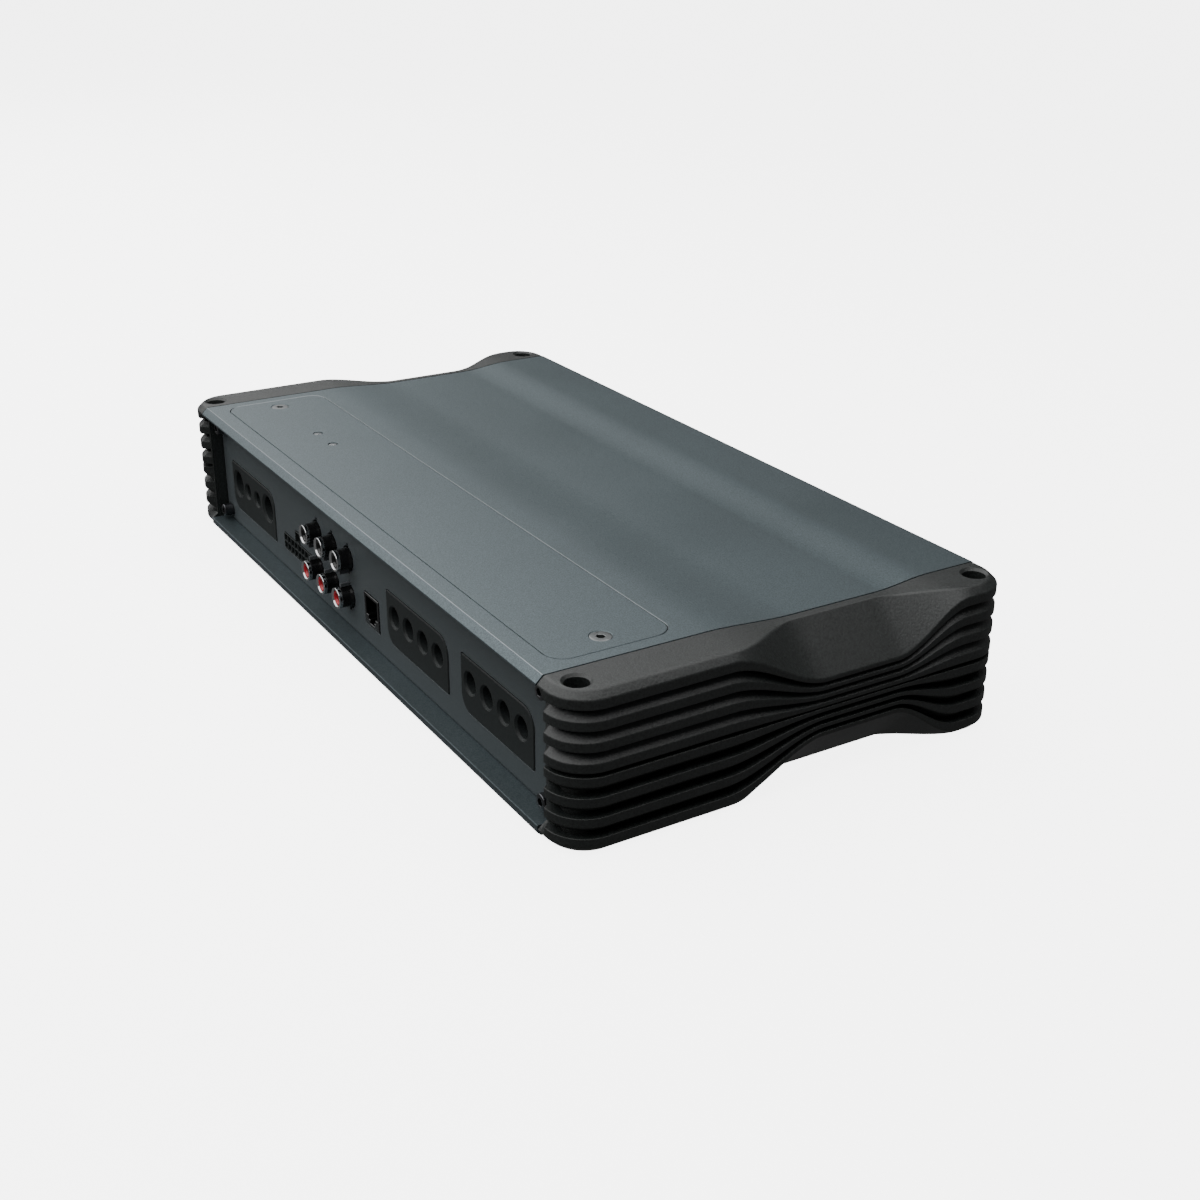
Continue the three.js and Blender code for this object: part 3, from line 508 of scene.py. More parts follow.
def carve(obj, operation, *shapes, key=None):
    """Joins shapes to a piece or cuts them out of it. The new faces may have a finish of their own."""
    tool = new_object("tool", joined(*shapes))
    modifier = obj.modifiers.new("carve", "BOOLEAN")
    modifier.material_mode = "TRANSFER"
    if key or obj.data.materials:
        tool.data.materials.append(material(key) if key else obj.data.materials[0])
    modifier.operation, modifier.solver, modifier.object = operation, "EXACT", tool
    applied(obj)
    bpy.data.objects.remove(tool)
    return obj


def finish_piece(obj, body, replaced=(), key=None, crease=32):
    """Smooths the faces up to the crease angle, sets the finish, and ties the piece to the frame."""
    if key:
        obj.data.materials.clear()
        obj.data.materials.append(material(key))
    obj.data.shade_smooth()
    obj.data.set_sharp_from_angle(angle=math.radians(crease))
    weighted = obj.modifiers.new("even normals", "WEIGHTED_NORMAL")
    weighted.keep_sharp = True
    applied(obj)
    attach(obj, body)
    if replaced:
        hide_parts(*replaced)


def numbered(stem, count):
    return [f"{stem}_{i}" for i in range(1, count + 1)]


# ---------------------------------------------------------------- Geometry Nodes


def new_tree(name, inputs):
    """A Geometry Nodes tree with a geometry output and the named inputs, as (name, socket kind)."""
    tree = bpy.data.node_groups.new(name, "GeometryNodeTree")
    tree.interface.new_socket("Geometry", in_out="OUTPUT", socket_type="NodeSocketGeometry")
    for label, kind in inputs:
        tree.interface.new_socket(label, in_out="INPUT", socket_type=f"NodeSocket{kind}")
    entry = add_node(tree, "NodeGroupInput")
    return tree, entry


def end_tree(tree, entry, geometry):
    """Every tree ends by making its instances real and setting their finish."""
    real = add_node(tree, "GeometryNodeRealizeInstances", {"Geometry": geometry})
    painted = add_node(tree, "GeometryNodeSetMaterial", {
        "Geometry": real.outputs["Geometry"], "Material": entry.outputs["Finish"]})
    add_node(tree, "NodeGroupOutput", {"Geometry": painted.outputs["Geometry"]})
    return tree


def grid_tree():
    """Repeats the object's mesh in columns and rows."""
    tree, entry = new_tree("repeat in a grid", [
        ("Piece", "Geometry"), ("Columns", "Int"), ("Column step", "Vector"),
        ("Rows", "Int"), ("Row step", "Vector"), ("Finish", "Material")])
    out = entry.outputs
    geometry = out["Piece"]
    for count, step in (("Columns", "Column step"), ("Rows", "Row step")):
        line = add_node(tree, "GeometryNodeMeshLine", {"Count": out[count], "Offset": out[step]})
        copies = add_node(tree, "GeometryNodeInstanceOnPoints", {
            "Points": line.outputs["Mesh"], "Instance": geometry})
        geometry = copies.outputs["Instances"]
    return end_tree(tree, entry, geometry)


def ring_tree():
    """Repeats the object's mesh round a vertical ring, turned with it. Used for windings."""
    tree, entry = new_tree("repeat round a ring", [
        ("Piece", "Geometry"), ("Turns", "Int"), ("Radius", "Float"), ("Centre", "Vector"),
        ("Finish", "Material")])
    out = entry.outputs
    ring = add_node(tree, "GeometryNodeCurvePrimitiveCircle", {"Radius": out["Radius"], "Resolution": 180})
    points = add_node(tree, "GeometryNodeCurveToPoints", {
        "Curve": ring.outputs["Curve"], "Count": out["Turns"]})
    copies = add_node(tree, "GeometryNodeInstanceOnPoints", {
        "Points": points.outputs["Points"], "Instance": out["Piece"],
        "Rotation": points.outputs["Rotation"]})
    moved = add_node(tree, "GeometryNodeTransform", {
        "Geometry": copies.outputs["Instances"], "Translation": out["Centre"]})
    return end_tree(tree, entry, moved.outputs["Geometry"])


def extrusion_tree():
    """Carries the object's flat profile along X and closes both ends."""
    tree, entry = new_tree("extrude a profile", [
        ("Profile", "Geometry"), ("Length", "Float"), ("Finish", "Material")])
    out = entry.outputs
    offset = add_node(tree, "ShaderNodeCombineXYZ", {"X": out["Length"]})
    drawn = add_node(tree, "GeometryNodeExtrudeMesh", {
        "Mesh": out["Profile"], "Offset": offset.outputs["Vector"], "Individual": False})
    closed = add_node(tree, "GeometryNodeFlipFaces", {"Mesh": out["Profile"]})
    both = add_node(tree, "GeometryNodeJoinGeometry")
    tree.links.new(closed.outputs["Mesh"], both.inputs["Geometry"])
    tree.links.new(drawn.outputs["Mesh"], both.inputs["Geometry"])
    whole = add_node(tree, "GeometryNodeMergeByDistance", {
        "Geometry": both.outputs["Geometry"], "Distance": 1e-6})
    return end_tree(tree, entry, whole.outputs["Geometry"])


TREES = {"grid": grid_tree, "ring": ring_tree, "extrusion": extrusion_tree}


def grow_by_nodes(obj, kind, **values):
    """Runs one of the trees on the object and keeps the plain mesh. Words in a name are split by _."""
    name = f"amplifier {kind}"
    tree = bpy.data.node_groups.get(name)
    if tree is None:
        tree = TREES[kind]()
        tree.name = name
    modifier = obj.modifiers.new(kind, "NODES")
    modifier.node_group = tree
    for item in tree.interface.items_tree:
        key = item.name.lower().replace(" ", "_")
        if item.in_out == "INPUT" and key in values:
            modifier[item.identifier] = values[key]
    return applied(obj)


def repeated(name, shape, columns, column_step, key, replaced=(), rows=1, row_step=(0, 0, 0),
             body=CHASSIS):
    """A finished piece made of the shape in a grid. Steps are vectors in mm."""
    piece = grow_by_nodes(
        new_object(name, shape), "grid", columns=columns, rows=rows, finish=material(key),
        column_step=[c * MM for c in column_step], row_step=[c * MM for c in row_step],
    )
    finish_piece(piece, body, replaced)


# ---------------------------------------------------------------- extrusion and bottom plate

WAVE_FALL, WAVE_CLIMB = (-27, 7), (42, 64)
SKIN, REAR_WALL, PLATE, LIP_TOP = 4, 3.2, 2.5, 3.9
EDGE_LINE, POCKET_LINE, SHARP_EDGE = 0.1, 0.1, 0.15
RAIL_HOLE, POST = 1.6, 3


def wave(y):
    """Height of the top above its flat level: a shallow trough runs along the housing."""
    return -size("wave_dip") * (rise(y, *WAVE_FALL) - rise(y, *WAVE_CLIMB))


def wave_stations():
    return [*spread(*WAVE_FALL, 20), *spread(*WAVE_CLIMB, 16)]


def extruded(name, corners):
    """A profile in Y and Z, drawn along the whole extrusion."""
    half = size("shell_length") / 2
    points = rounded_line(corners, 6)
    profile = new_object(name, ([(-half, y, z) for y, z in points], [tuple(range(len(points)))]), False)
    coat = material("slate_flake_powder_coat")
    drawn = grow_by_nodes(profile, "extrusion", length=2 * half * MM, finish=coat)
    drawn.data.materials.clear()
    drawn.data.materials.append(coat)
    made = bmesh.new()
    made.from_mesh(drawn.data)
    bmesh.ops.recalc_face_normals(made, faces=made.faces)
    made.to_mesh(drawn.data)
    made.free()
    return drawn


def rail_holes(z):
    return [slab(circle(x, z, RAIL_HOLE, 24), [(RAIL_FRONT - 1, 0), (RAIL_REAR + 1, 0)], place=upright)
            for x in PANEL_SCREWS_X]


class AMPLIFIER_OT_top_shell(bpy.types.Operator):
    """Builds the wavy extrusion with the seat and window under the access cover"""

    bl_idname = "amplifier.top_shell"
    bl_label = "Wavy top shell"

    def execute(self, context):
        height, edge, sharp = size("height"), size("edge_chamfer"), SHARP_EDGE
        front, rear = -size("depth") / 2, size("depth") / 2
        inner = height - SKIN
        lip = PANEL_TOP + FIT
        shell = extruded("wavy_top_shell", [
            (RAIL_FRONT, lip, 0), (front, lip, 0.3), (front, height - edge, sharp),
            (front + edge, height, 0),
            *((y, height + wave(y), 0) for y in wave_stations()),
            (rear - edge, height, sharp), (rear, height - edge, sharp), (rear, edge, sharp),
            (rear - edge, 0, sharp), (rear - REAR_WALL, 0, 0.2),
            (rear - REAR_WALL, inner, 0),
            *((y, inner + wave(y), 0) for y in reversed(wave_stations())),
            (RAIL_REAR, inner, 0), (RAIL_REAR, RAIL_DROP, 0), (RAIL_FRONT, RAIL_DROP, 0),
        ])
        pocket = slab(rounded_rectangle(*COVER_OUTLINE, size("cover_corner")), [
            (COVER_FLOOR, 0), (height - POCKET_LINE, 0), (height, POCKET_LINE),
            (height + 1, POCKET_LINE + 1)])
        # The seat's faces take the lighter milled finish, which also paints highlight lines along the edges
        # of the cover's groove.
        carve(shell, "DIFFERENCE", pocket, key="milled_aluminium")
        # Painted highlight: a fine strip on the arris over the front chamfer takes the lighter milled
        # finish, so it shows as a bright line.
        y, half = front + edge, size("shell_length") / 2 + 1
        arris = [(y - 0.7 * EDGE_LINE, height - 0.7 * EDGE_LINE), (y + EDGE_LINE, height),
                 (y + EDGE_LINE, height + 1), (y - 1, height + 1)]
        carve(shell, "DIFFERENCE", slab(arris, [(-half, 0), (half, 0)], place=lengthwise),
              key="milled_aluminium")
        carve(shell, "DIFFERENCE",
              slab(rounded_rectangle(*BAY_OUTLINE, 4), [(inner - 1, 0), (COVER_FLOOR + 1, 0)]),
              *(slab(circle(x, y, COVER_SCREW_HOLE, 32), [(inner - 1, 0), (COVER_FLOOR + 1, 0)])
                for x, y in COVER_SCREWS),
              *rail_holes(PANEL_SCREWS_Z[1]))
        finish_piece(shell, CHASSIS, ["top_shell"])
        return {"FINISHED"}


class AMPLIFIER_OT_bottom_plate(bpy.types.Operator):
    """Builds the bottom plate with its front lip, rail and board posts"""

    bl_idname = "amplifier.bottom_plate"
    bl_label = "Bottom plate"

    def execute(self, context):
        front, rear = -size("depth") / 2, size("depth") / 2 - REAR_WALL - FIT
        foot, sharp = size("foot_chamfer"), SHARP_EDGE
        plate = extruded("lipped_bottom_plate", [
            (RAIL_FRONT, LIP_TOP, 0), (front, LIP_TOP, 0.3), (front, foot, sharp), (front + foot, 0, sharp),
            (rear, 0, 0.3), (rear, PLATE, 0.3), (RAIL_REAR, PLATE, 0), (RAIL_REAR, BOARD_TOP, 0),
            (RAIL_FRONT, BOARD_TOP, 0),
        ])
        carve(plate, "UNION", *(slab(circle(x, y, POST, 32), [(PLATE - 1, 0), (BOARD_BOTTOM - FIT, 0)])
                                for x, y in POSTS))
        carve(plate, "DIFFERENCE", *rail_holes(PANEL_SCREWS_Z[0]))
        finish_piece(plate, CHASSIS, ["bottom_plate"])
        return {"FINISHED"}


# ---------------------------------------------------------------- finned end caps

FALL_SQUEEZE, CLIMB_SQUEEZE = (-29, 9), (38, 67)
FALL_APRON, CLIMB_APRON = (-25, 6), (38, 70)
PLATE_BEVEL, PLATE_BEVEL_DROP = 2.6, 2.5
JOINT, JOINT_DEPTH, CREST_LIMIT = 0.6, 1.3, 15.2
FLANGE, FLANGE_SET_BACK, FIN_RUN_OUT = 1.5, 3, 2.3
FIN_GAPS, CORNER_STEPS, SIDE_STEPS = 7, 18, 96
MOUNT_BOSS, MOUNT_HOLE, MOUNT_SINK = 5.1, 4, 0.9


def squeeze(y):
    """Share of the fin stack's full height at a place along the end: 1, and less at the waist."""
    taken = bpy.context.scene.amplifier_sizes.waist
    return 1 - taken * (rise(y, *FALL_SQUEEZE) - rise(y, *CLIMB_SQUEEZE))


def cap_levels(y, top):
    """The rim's height, then how far in the apron's crest and the profile's inner end lie."""
    height, middle = size("height"), size("height") / 2
    reach = PLATE_BEVEL + size("apron_reach") * (rise(y, *FALL_APRON) - rise(y, *CLIMB_APRON))
    rim = middle + (middle - PLATE_BEVEL_DROP) * squeeze(y)
    crest = min(reach * (top - rim) / (height - rim), CREST_LIMIT)
    return rim, crest, max(size("cap_corner"), crest + 0.5)


def cap_profile(y, top):
    """Half an end cap's section at one place, from the top plate down to the middle of the fins.

    Points are (depth inwards from the outline, height)."""
    middle = size("height") / 2
    pitch, gap, face = size("fin_pitch"), size("fin_gap"), size("fin_face")
    depth, bevel, edge = size("fin_depth"), size("fin_bevel"), size("fin_edge")
    scale = squeeze(y)
    rim, crest, inner = cap_levels(y, top)
    round_edge = edge * (0.45 + 0.55 * scale)

    def at(offset):
        return middle + offset * scale

    corners = [(inner, top, 0), (crest, top, 0.8), (0, rim, 0.5)]
    level = pitch * (FIN_GAPS // 2) + gap / 2
    while level > gap:
        corners += [
            (0, at(level), round_edge),
            (depth, at(level), 0.4 * scale),
            (depth, at(level - gap), 0.4 * scale),
            (bevel, at(level - gap), round_edge),
            (0, at(level - pitch + face), round_edge),
        ]
        level -= pitch
    corners += [(0, at(gap / 2), round_edge), (depth, at(gap / 2), 0.4 * scale), (depth, middle, 0)]
    return rounded_line(corners)


def cap_section(y, part):
    """The whole section, top to bottom, of the flange, of the fins' ends beside it or of the fins."""
    height = size("height")
    set_back = {
        "flange": lambda d: FLANGE_SET_BACK,
        "ends": lambda d: max(d, FLANGE_SET_BACK),
        "fins": lambda d: d,
    }[part]
    halves = []
    for top in (height + wave(y), height):
        half = cap_profile(y, top)
        rim = next(i for i, (d, _) in enumerate(half) if d < 1e-6)
        halves.append(half[:rim + 1] + [(set_back(d), z) for d, z in half[rim + 1:]])
    upper, lower = halves
    return upper + [(d, height - z) for d, z in reversed(lower[:-1])]


def cap_shape():
    """An end cap for the +X end, before its bosses and holes."""
    height, corner = size("height"), size("cap_corner")
    start = size("shell_length") / 2 + JOINT
    end = start + size("cap_length")
    front, rear = -size("depth") / 2, size("depth") / 2
    arc_x, arc_y = end - corner, rear - corner
    stations = []
    fins_from = start + FLANGE + FIN_RUN_OUT
    joint_side = ((start, "flange"), (start + FLANGE, "flange"), (start + FLANGE, "ends"),
                  (fins_from, "fins"))
    for x, part in joint_side:
        stations.append((x, front, 0, 1, part))
    for y, first in ((-arc_y, -math.pi / 2), (arc_y, 0)):
        for angle in spread(first, first + math.pi / 2, CORNER_STEPS):
            c, s = math.cos(angle), math.sin(angle)
            stations.append((arc_x + corner * c, y + corner * s, -c, -s, "fins"))
        if y < 0:
            stations += [(end, side, -1, 0, "fins") for side in spread(-arc_y, arc_y, SIDE_STEPS)[1:-1]]
    for x, part in reversed(joint_side):
        stations.append((x, rear, 0, -1, part))
    vertices, faces = [], []
    for x, y, in_x, in_y, part in stations:
        vertices += [(x + in_x * d, y + in_y * d, z) for d, z in cap_section(y, part)]
    count = len(vertices) // len(stations)
    for i in range(len(stations) - 1):
        for j in range(count - 1):
            a, b = i * count + j, i * count + j + 1
            faces.append((a, b, b + count, a + count))
    # Flat strips between the joint and the depth where the corners' sections meet.
    sides = [y for _, y, in_x, _, _ in stations if in_x == -1]
    for dips in (True, False):
        tops = [height + wave(y) if dips else height for y in sides]
        ends = [end - cap_levels(y, top)[2] for y, top in zip(sides, tops)]
        levels = tops if dips else [0] * len(sides)
        for i in range(len(sides) - 1):
            near, far = ((y, z, [start + FLANGE, *([fins_from] if abs(y) >= arc_y else []), x])
                         for y, z, x in zip(sides[i:i + 2], levels[i:i + 2], ends[i:i + 2]))
            inner = [[(x, y, z) for x in (start, start + FLANGE)] for y, z, _ in (near, far)]
            outer = [[(x, y, z) for x in line] for y, z, line in (near, far)]
            for first, second in (inner, outer):
                faces.append(tuple(range(len(vertices), len(vertices) + len(first) + len(second))))
                vertices += first + second[::-1]
    return vertices, faces


def joint_tongue():
    """A tongue that nearly fills the joint behind its groove, so that no light comes through."""
    top, start = size("height") - JOINT_DEPTH, size("shell_length") / 2
    across = size("depth") / 2 - FLANGE_SET_BACK - 0.8
    return slab([(-across, JOINT_DEPTH), (across, JOINT_DEPTH), (across, top),
                 *((y, top + wave(y)) for y in reversed(wave_stations())), (-across, top)],
                [(start + 0.05, 0), (start + JOINT + 1, 0)], place=lengthwise)


class AMPLIFIER_OT_end_caps(bpy.types.Operator):
    """Builds the two cast end caps: a stack of fins that a waist squeezes, under sloped aprons"""

    bl_idname = "amplifier.end_caps"
    bl_label = "Finned end caps"

    def execute(self, context):
        height = size("height")
        places = [(MOUNT_X, -MOUNT_Y), (MOUNT_X, MOUNT_Y)]
        bosses = [slab(circle(x, y, MOUNT_BOSS, 40), [(1, 0), (height - 1, 0)]) for x, y in places]
        holes = [slab(circle(x, y, MOUNT_HOLE, 64), [
            (-1, 0), (height - MOUNT_SINK, 0), (height, MOUNT_SINK), (height + 1, MOUNT_SINK)])
            for x, y in places]
        depth, reach, low, high = CAP_POCKET
        start = size("shell_length") / 2 + JOINT
        pocket = block(start - 1, start + depth, -reach, reach, low, high)
        for side, turn in (("right", lambda shape: shape), ("left", mirrored)):
            cap = new_object(f"finned_end_cap_{side}", turn(cap_shape()))
            carve(cap, "UNION", *(turn(shape) for shape in bosses))
            carve(cap, "UNION", turn(joint_tongue()))
            carve(cap, "DIFFERENCE", *(turn(shape) for shape in (*holes, pocket)))
            finish_piece(cap, CHASSIS, [f"{side}_end_cap"],
                         "textured_powder_coat_on_casting", 40)
        return {"FINISHED"}


# ---------------------------------------------------------------- connection panel


def connector_outline(growth=0.0):
    x0, x1, z0, z1 = CONNECTOR
    left, right, top = LATCH
    return grown([(x0, z0), (x1, z0), (x1, z1), (right, z1), (right, top), (left, top), (left, z1),
                  (x0, z1)], growth)


def jack_opening(x, z):
    """A round hole with a small key slot above and below."""
    radius, key, half = 5, 6.1, 0.8
    lean = math.acos(half / radius)
    return [
        *arc(x, z, radius, -lean, lean, 24), (x + half, z + key), (x - half, z + key),
        *arc(x, z, radius, math.pi - lean, math.pi + lean, 24), (x - half, z - key), (x + half, z - key),
    ]


class AMPLIFIER_OT_connection_panel(bpy.types.Operator):
    """Builds the sheet-metal panel with its cut-outs"""

    bl_idname = "amplifier.connection_panel"
    bl_label = "Connection panel"

    def execute(self, context):
        edge = size("shell_length") / 2 - FIT
        rear, chamfer = PANEL_FRONT + 2, 0.12
        cuts = [grown(rounded_rectangle(*place, BLOCK_CORNERS), FIT)
                for place in (POWER_BLOCK, *SPEAKER_BLOCKS)]
        cuts += [connector_outline(FIT), grown(rounded_rectangle(*NETWORK_JACK, 0.4, 3), FIT)]
        cuts += [jack_opening(x, z) for x in JACK_X for z in JACK_Z]
        cuts += [circle(x, z, 1.8, 24) for x in PANEL_SCREWS_X for z in PANEL_SCREWS_Z]
        steps = [(PANEL_FRONT, chamfer), (PANEL_FRONT + chamfer, 0), (rear, 0)]
        panel = new_object("punched_panel", slab(
            rectangle(-edge, edge, PANEL_BOTTOM, PANEL_TOP),
            [(PANEL_FRONT, -chamfer), (PANEL_FRONT + chamfer, 0), (rear, 0)],
            [(points, steps, False) for points in cuts], upright))
        finish_piece(panel, CHASSIS, ["connection_panel"], "matt_powder_coat_on_sheet")
        return {"FINISHED"}


# ---------------------------------------------------------------- terminal blocks


def terminal_block(name, place, terminals, replaced):
    chamfer, sink_depth = 0.3, 0.8
    bores = [(circle(x, BORE_Z, radius, 56),
              [(BLOCK_FACE, sink - radius), (BLOCK_FACE + sink_depth, 0), (BORE_END, 0)], True)
             for x, radius, sink in terminals]
    body = new_object(name, slab(rounded_rectangle(*place, BLOCK_CORNERS), [
        (BLOCK_FACE, -chamfer), (BLOCK_FACE + chamfer, 0), (BLOCK_REAR, 0)], bores, upright))
    shaft = SET_SCREW_RADIUS + 0.4
    carve(body, "DIFFERENCE", *(slab(circle(x, SET_SCREW_Y, shaft, 32), [(BORE_Z, 0), (place[3] + 1, 0)])
                                for x, _, _ in terminals))
    finish_piece(body, CHASSIS, [replaced], "glass_filled_nylon_moulded")


class AMPLIFIER_OT_terminal_blocks(bpy.types.Operator):
    """Builds the power block and the two speaker blocks with their countersunk wire bores"""

    bl_idname = "amplifier.terminal_blocks"
    bl_label = "Terminal blocks"

    def execute(self, context):
        terminal_block("power_block_body", POWER_BLOCK, POWER_TERMINALS, "power_terminal_block")
        for i, place in enumerate(SPEAKER_BLOCKS, 1):
            terminal_block(f"speaker_block_body_{i}", place, speaker_terminals(place),
                           f"speaker_terminal_block_{i}")
        return {"FINISHED"}


def set_screw(x, top, tip):
    """A socket set screw with a chamfered end."""
    return slab(circle(x, SET_SCREW_Y, SET_SCREW_RADIUS, 32),
                [(top, -0.3), (top - 0.3, 0), (tip + 0.4, 0), (tip, -0.4)],
                [(hexagon(x, SET_SCREW_Y, 2.1), [(top, 0.1), (top - 0.1, 0), (top - 1.6, 0)], True)])


class AMPLIFIER_OT_set_screws(bpy.types.Operator):
    """Builds the socket set screws that clamp the wires, in the shafts of the terminal blocks"""

    bl_idname = "amplifier.set_screws"
    bl_label = "Set screws"

    def execute(self, context):
        outer, inner, inner_mate, outer_mate = POWER_TERMINALS
        speaker = speaker_terminals(SPEAKER_BLOCKS[0])[0]
        # The depth is how far a screw's tip stands in its wire bore.
        rows = (
            ("power_clamp_screws_outer", POWER_BLOCK, outer, 0.7, 2, outer_mate[0] - outer[0], 1,
             ["power_set_screw_1", "power_set_screw_4"]),
            ("power_clamp_screws_inner", POWER_BLOCK, inner, 0.7, 2, inner_mate[0] - inner[0], 1,
             ["power_set_screw_2", "power_set_screw_3"]),
            ("speaker_clamp_screws", SPEAKER_BLOCKS[0], speaker, 0, 4, SPEAKER_PITCH, 2,
             numbered("speaker_set_screw", 8)),
        )
        between_blocks = SPEAKER_BLOCKS[1][0] - SPEAKER_BLOCKS[0][0]
        for name, place, (x, radius, _), depth, columns, step, blocks, replaced in rows:
            screw = set_screw(x, place[3] - 0.6, BORE_Z + radius - depth)
            repeated(name, screw, columns, (step, 0, 0), "nickel_plate_on_headed_steel",
                     replaced, blocks, (between_blocks, 0, 0))
        return {"FINISHED"}


# ---------------------------------------------------------------- phono jacks

JACK_PITCH, JACK_ROW = JACK_X[1] - JACK_X[0], JACK_Z[1] - JACK_Z[0]
JACK_FACE = -85


def at_jacks(name, profile, key, replaced=(), rows=2, row=0):
    """A turned piece in every jack, or in those of one row."""
    shape = lathe(profile, (JACK_X[0], JACK_Z[row]), upright)
    repeated(name, shape, 3, (JACK_PITCH, 0, 0), key, replaced, rows, (0, 0, JACK_ROW))


class AMPLIFIER_OT_phono_jacks(bpy.types.Operator):
    """Builds six phono jacks: barrels, flared sleeves, inserts, contacts and key ribs"""

    bl_idname = "amplifier.phono_jacks"
    bl_label = "Phono jacks"

    def execute(self, context):
        mouth, root, bore = JACK_FACE + 1.7, RAIL_FRONT + 1, 3.75
        sockets = [(circle(x, z, bore, 40), [(RAIL_FRONT, 0), (-71, 0)], True)
                   for x in JACK_X for z in JACK_Z]
        body = new_object("jack_housing_body", slab(
            rectangle(JACK_X[0] - 6.1, JACK_X[2] + 6.1, BOARD_TOP + FIT, JACK_Z[0] + 6.2),
            [(RAIL_FRONT, -0.3), (RAIL_FRONT + 0.3, 0), (-64, 0)], sockets, upright))
        finish_piece(body, CHASSIS, ["phono_jack_housing"], "black_abs_moulded")
        foot = 4.6
        at_jacks("jack_barrels", [
            *rounded_line([(bore, root, 0), (bore, mouth, 0.1), (4.08, mouth, 0.15),
                           (4.12, PANEL_FRONT - 1.5, 1.5), (foot, PANEL_FRONT, 0.3), (foot, root, 0)]),
            (bore, root)], "black_abs_moulded")
        inner, outer, flare = 3.05, 3.5, 4.15
        back, neck = -72, JACK_FACE + 1.6
        at_jacks("jack_sleeves", [
            *rounded_line([(inner, back, 0), (inner, JACK_FACE + 0.8, 0.3), (3.35, JACK_FACE, 0.3),
                           (flare, JACK_FACE, 0.42), (flare, neck, 0.4), (outer, neck, 0.1),
                           (outer, back, 0)], 5),
            (inner, back)], "chrome_plate_on_turned_steel",
            [f"phono_shell_{row}_{i}" for row in ("upper", "lower") for i in (1, 2, 3)])
        radius, back, front = 2.9, -71.6, JACK_FACE + 0.5
        insert = rounded_line([(0, back, 0), (radius, back, 0), (radius, front, 0.3), (2.2, front, 0.2),
                               (1.6, front + 0.9, 0.2), (1.6, -75, 0), (0, -75, 0)])
        at_jacks("jack_inserts_upper", insert, "black_abs_moulded",
                 numbered("phono_insulator_upper", 3), 1, 0)
        at_jacks("jack_inserts_lower", insert, "red_abs_moulded",
                 numbered("phono_insulator_lower", 3), 1, 1)
        at_jacks("jack_contacts", [(1.2, -75.2), (1.2, -82), (1.3, -82.3), (1.52, -82.3), (1.52, -75.2),
                                   (1.2, -75.2)], "tin_plate_on_brass")
        half, reach, rim = 0.6, 5.7, 4.3
        ribs = joined(*(block(JACK_X[0] - half, JACK_X[0] + half, mouth + 0.5, root, *heights)
                        for heights in ((JACK_Z[0] - reach, JACK_Z[0] - rim),
                                        (JACK_Z[1] + rim, JACK_Z[1] + reach))))
        repeated("jack_key_ribs", ribs, 3, (JACK_PITCH, 0, 0), "grey_abs_moulded")
        return {"FINISHED"}


# ---------------------------------------------------------------- connector and network jack


class AMPLIFIER_OT_signal_connector(bpy.types.Operator):
    """Builds the sixteen-way connector with its latch and pins"""

    bl_idname = "amplifier.signal_connector"
    bl_label = "Signal connector"

    def execute(self, context):
        x0, x1, z0, z1 = CONNECTOR
        left, right, top = LATCH
        columns, wall, cell, floor = 8, 0.45, 2.7, -71
        pitch = (x1 - x0) / columns
        rows = (z0 + 0.5, z0 + 3.8)
        cells = [rectangle(x0 + i * pitch + wall, x0 + (i + 1) * pitch - wall, z, z + cell)
                 for i in range(columns) for z in rows]
        cells.append(rectangle(left + wall, right - wall, z1 + wall, top - wall))
        steps = [(BLOCK_FACE, 0.12), (BLOCK_FACE + 0.12, 0), (floor, 0)]
        body = new_object("connector_body", slab(
            connector_outline(), [(BLOCK_FACE, -0.15), (BLOCK_FACE + 0.15, 0), (-66, 0)],
            [(points, steps, True) for points in cells], upright))
        finish_piece(body, CHASSIS, ["signal_connector"], "glass_filled_nylon_moulded")
        x, z, half = x0 + pitch / 2, rows[0] + cell / 2, 0.32
        pin = slab(rectangle(x - half, x + half, z - half, z + half),
                   [(-76.5, -0.2), (-76.1, 0), (floor, 0)], place=upright)
        repeated("connector_pins", pin, columns, (pitch, 0, 0), "tin_plate_on_brass",
                 rows=2, row_step=(0, 0, rows[1] - rows[0]))
        return {"FINISHED"}


class AMPLIFIER_OT_network_jack(bpy.types.Operator):
    """Builds the modular jack with its eight spring contacts"""

    bl_idname = "amplifier.network_jack"
    bl_label = "Network jack"

    def execute(self, context):
        x0, x1, z0, z1 = NETWORK_JACK
        mid = (x0 + x1) / 2
        right = [(1.9, z0 + 1.3), (1.9, z0 + 2.7), (3.1, z0 + 2.7), (3.1, z0 + 4.3), (5, z0 + 4.3),
                 (5, z1 - 1.2)]
        socket = [(mid + u, z) for u, z in right] + [(mid - u, z) for u, z in reversed(right)]
        body = new_object("network_jack_body", slab(
            rounded_rectangle(*NETWORK_JACK, 0.4, 3),
            [(BLOCK_FACE, -0.2), (BLOCK_FACE + 0.2, 0), (-64, 0)],
            [(socket, [(BLOCK_FACE, 0.2), (BLOCK_FACE + 0.2, 0), (-68, 0)], True)], upright))
        finish_piece(body, CHASSIS, ["network_jack"], "black_abs_moulded")
        pitch, half, thick = 1.02, 0.2, 0.35
        x = mid - 3.5 * pitch
        line = [(-77.6, z1 - 1.7), (-76.8, z1 - 1.7), (-70.5, z1 - 4.6), (-68.2, z1 - 4.6)]
        vertices = [(x + side, y, z - drop) for y, z in line for side, drop in
                    ((-half, 0), (half, 0), (half, thick), (-half, thick))]
        faces = [(0, 1, 2, 3), (12, 13, 14, 15)]
        for i in range(3):
            faces += [(4 * i + j, 4 * i + (j + 1) % 4, 4 * i + 4 + (j + 1) % 4, 4 * i + 4 + j)
                      for j in range(4)]
        repeated("network_jack_contacts", (vertices, faces), 8, (pitch, 0, 0), "gold_flash_on_contacts")
        return {"FINISHED"}


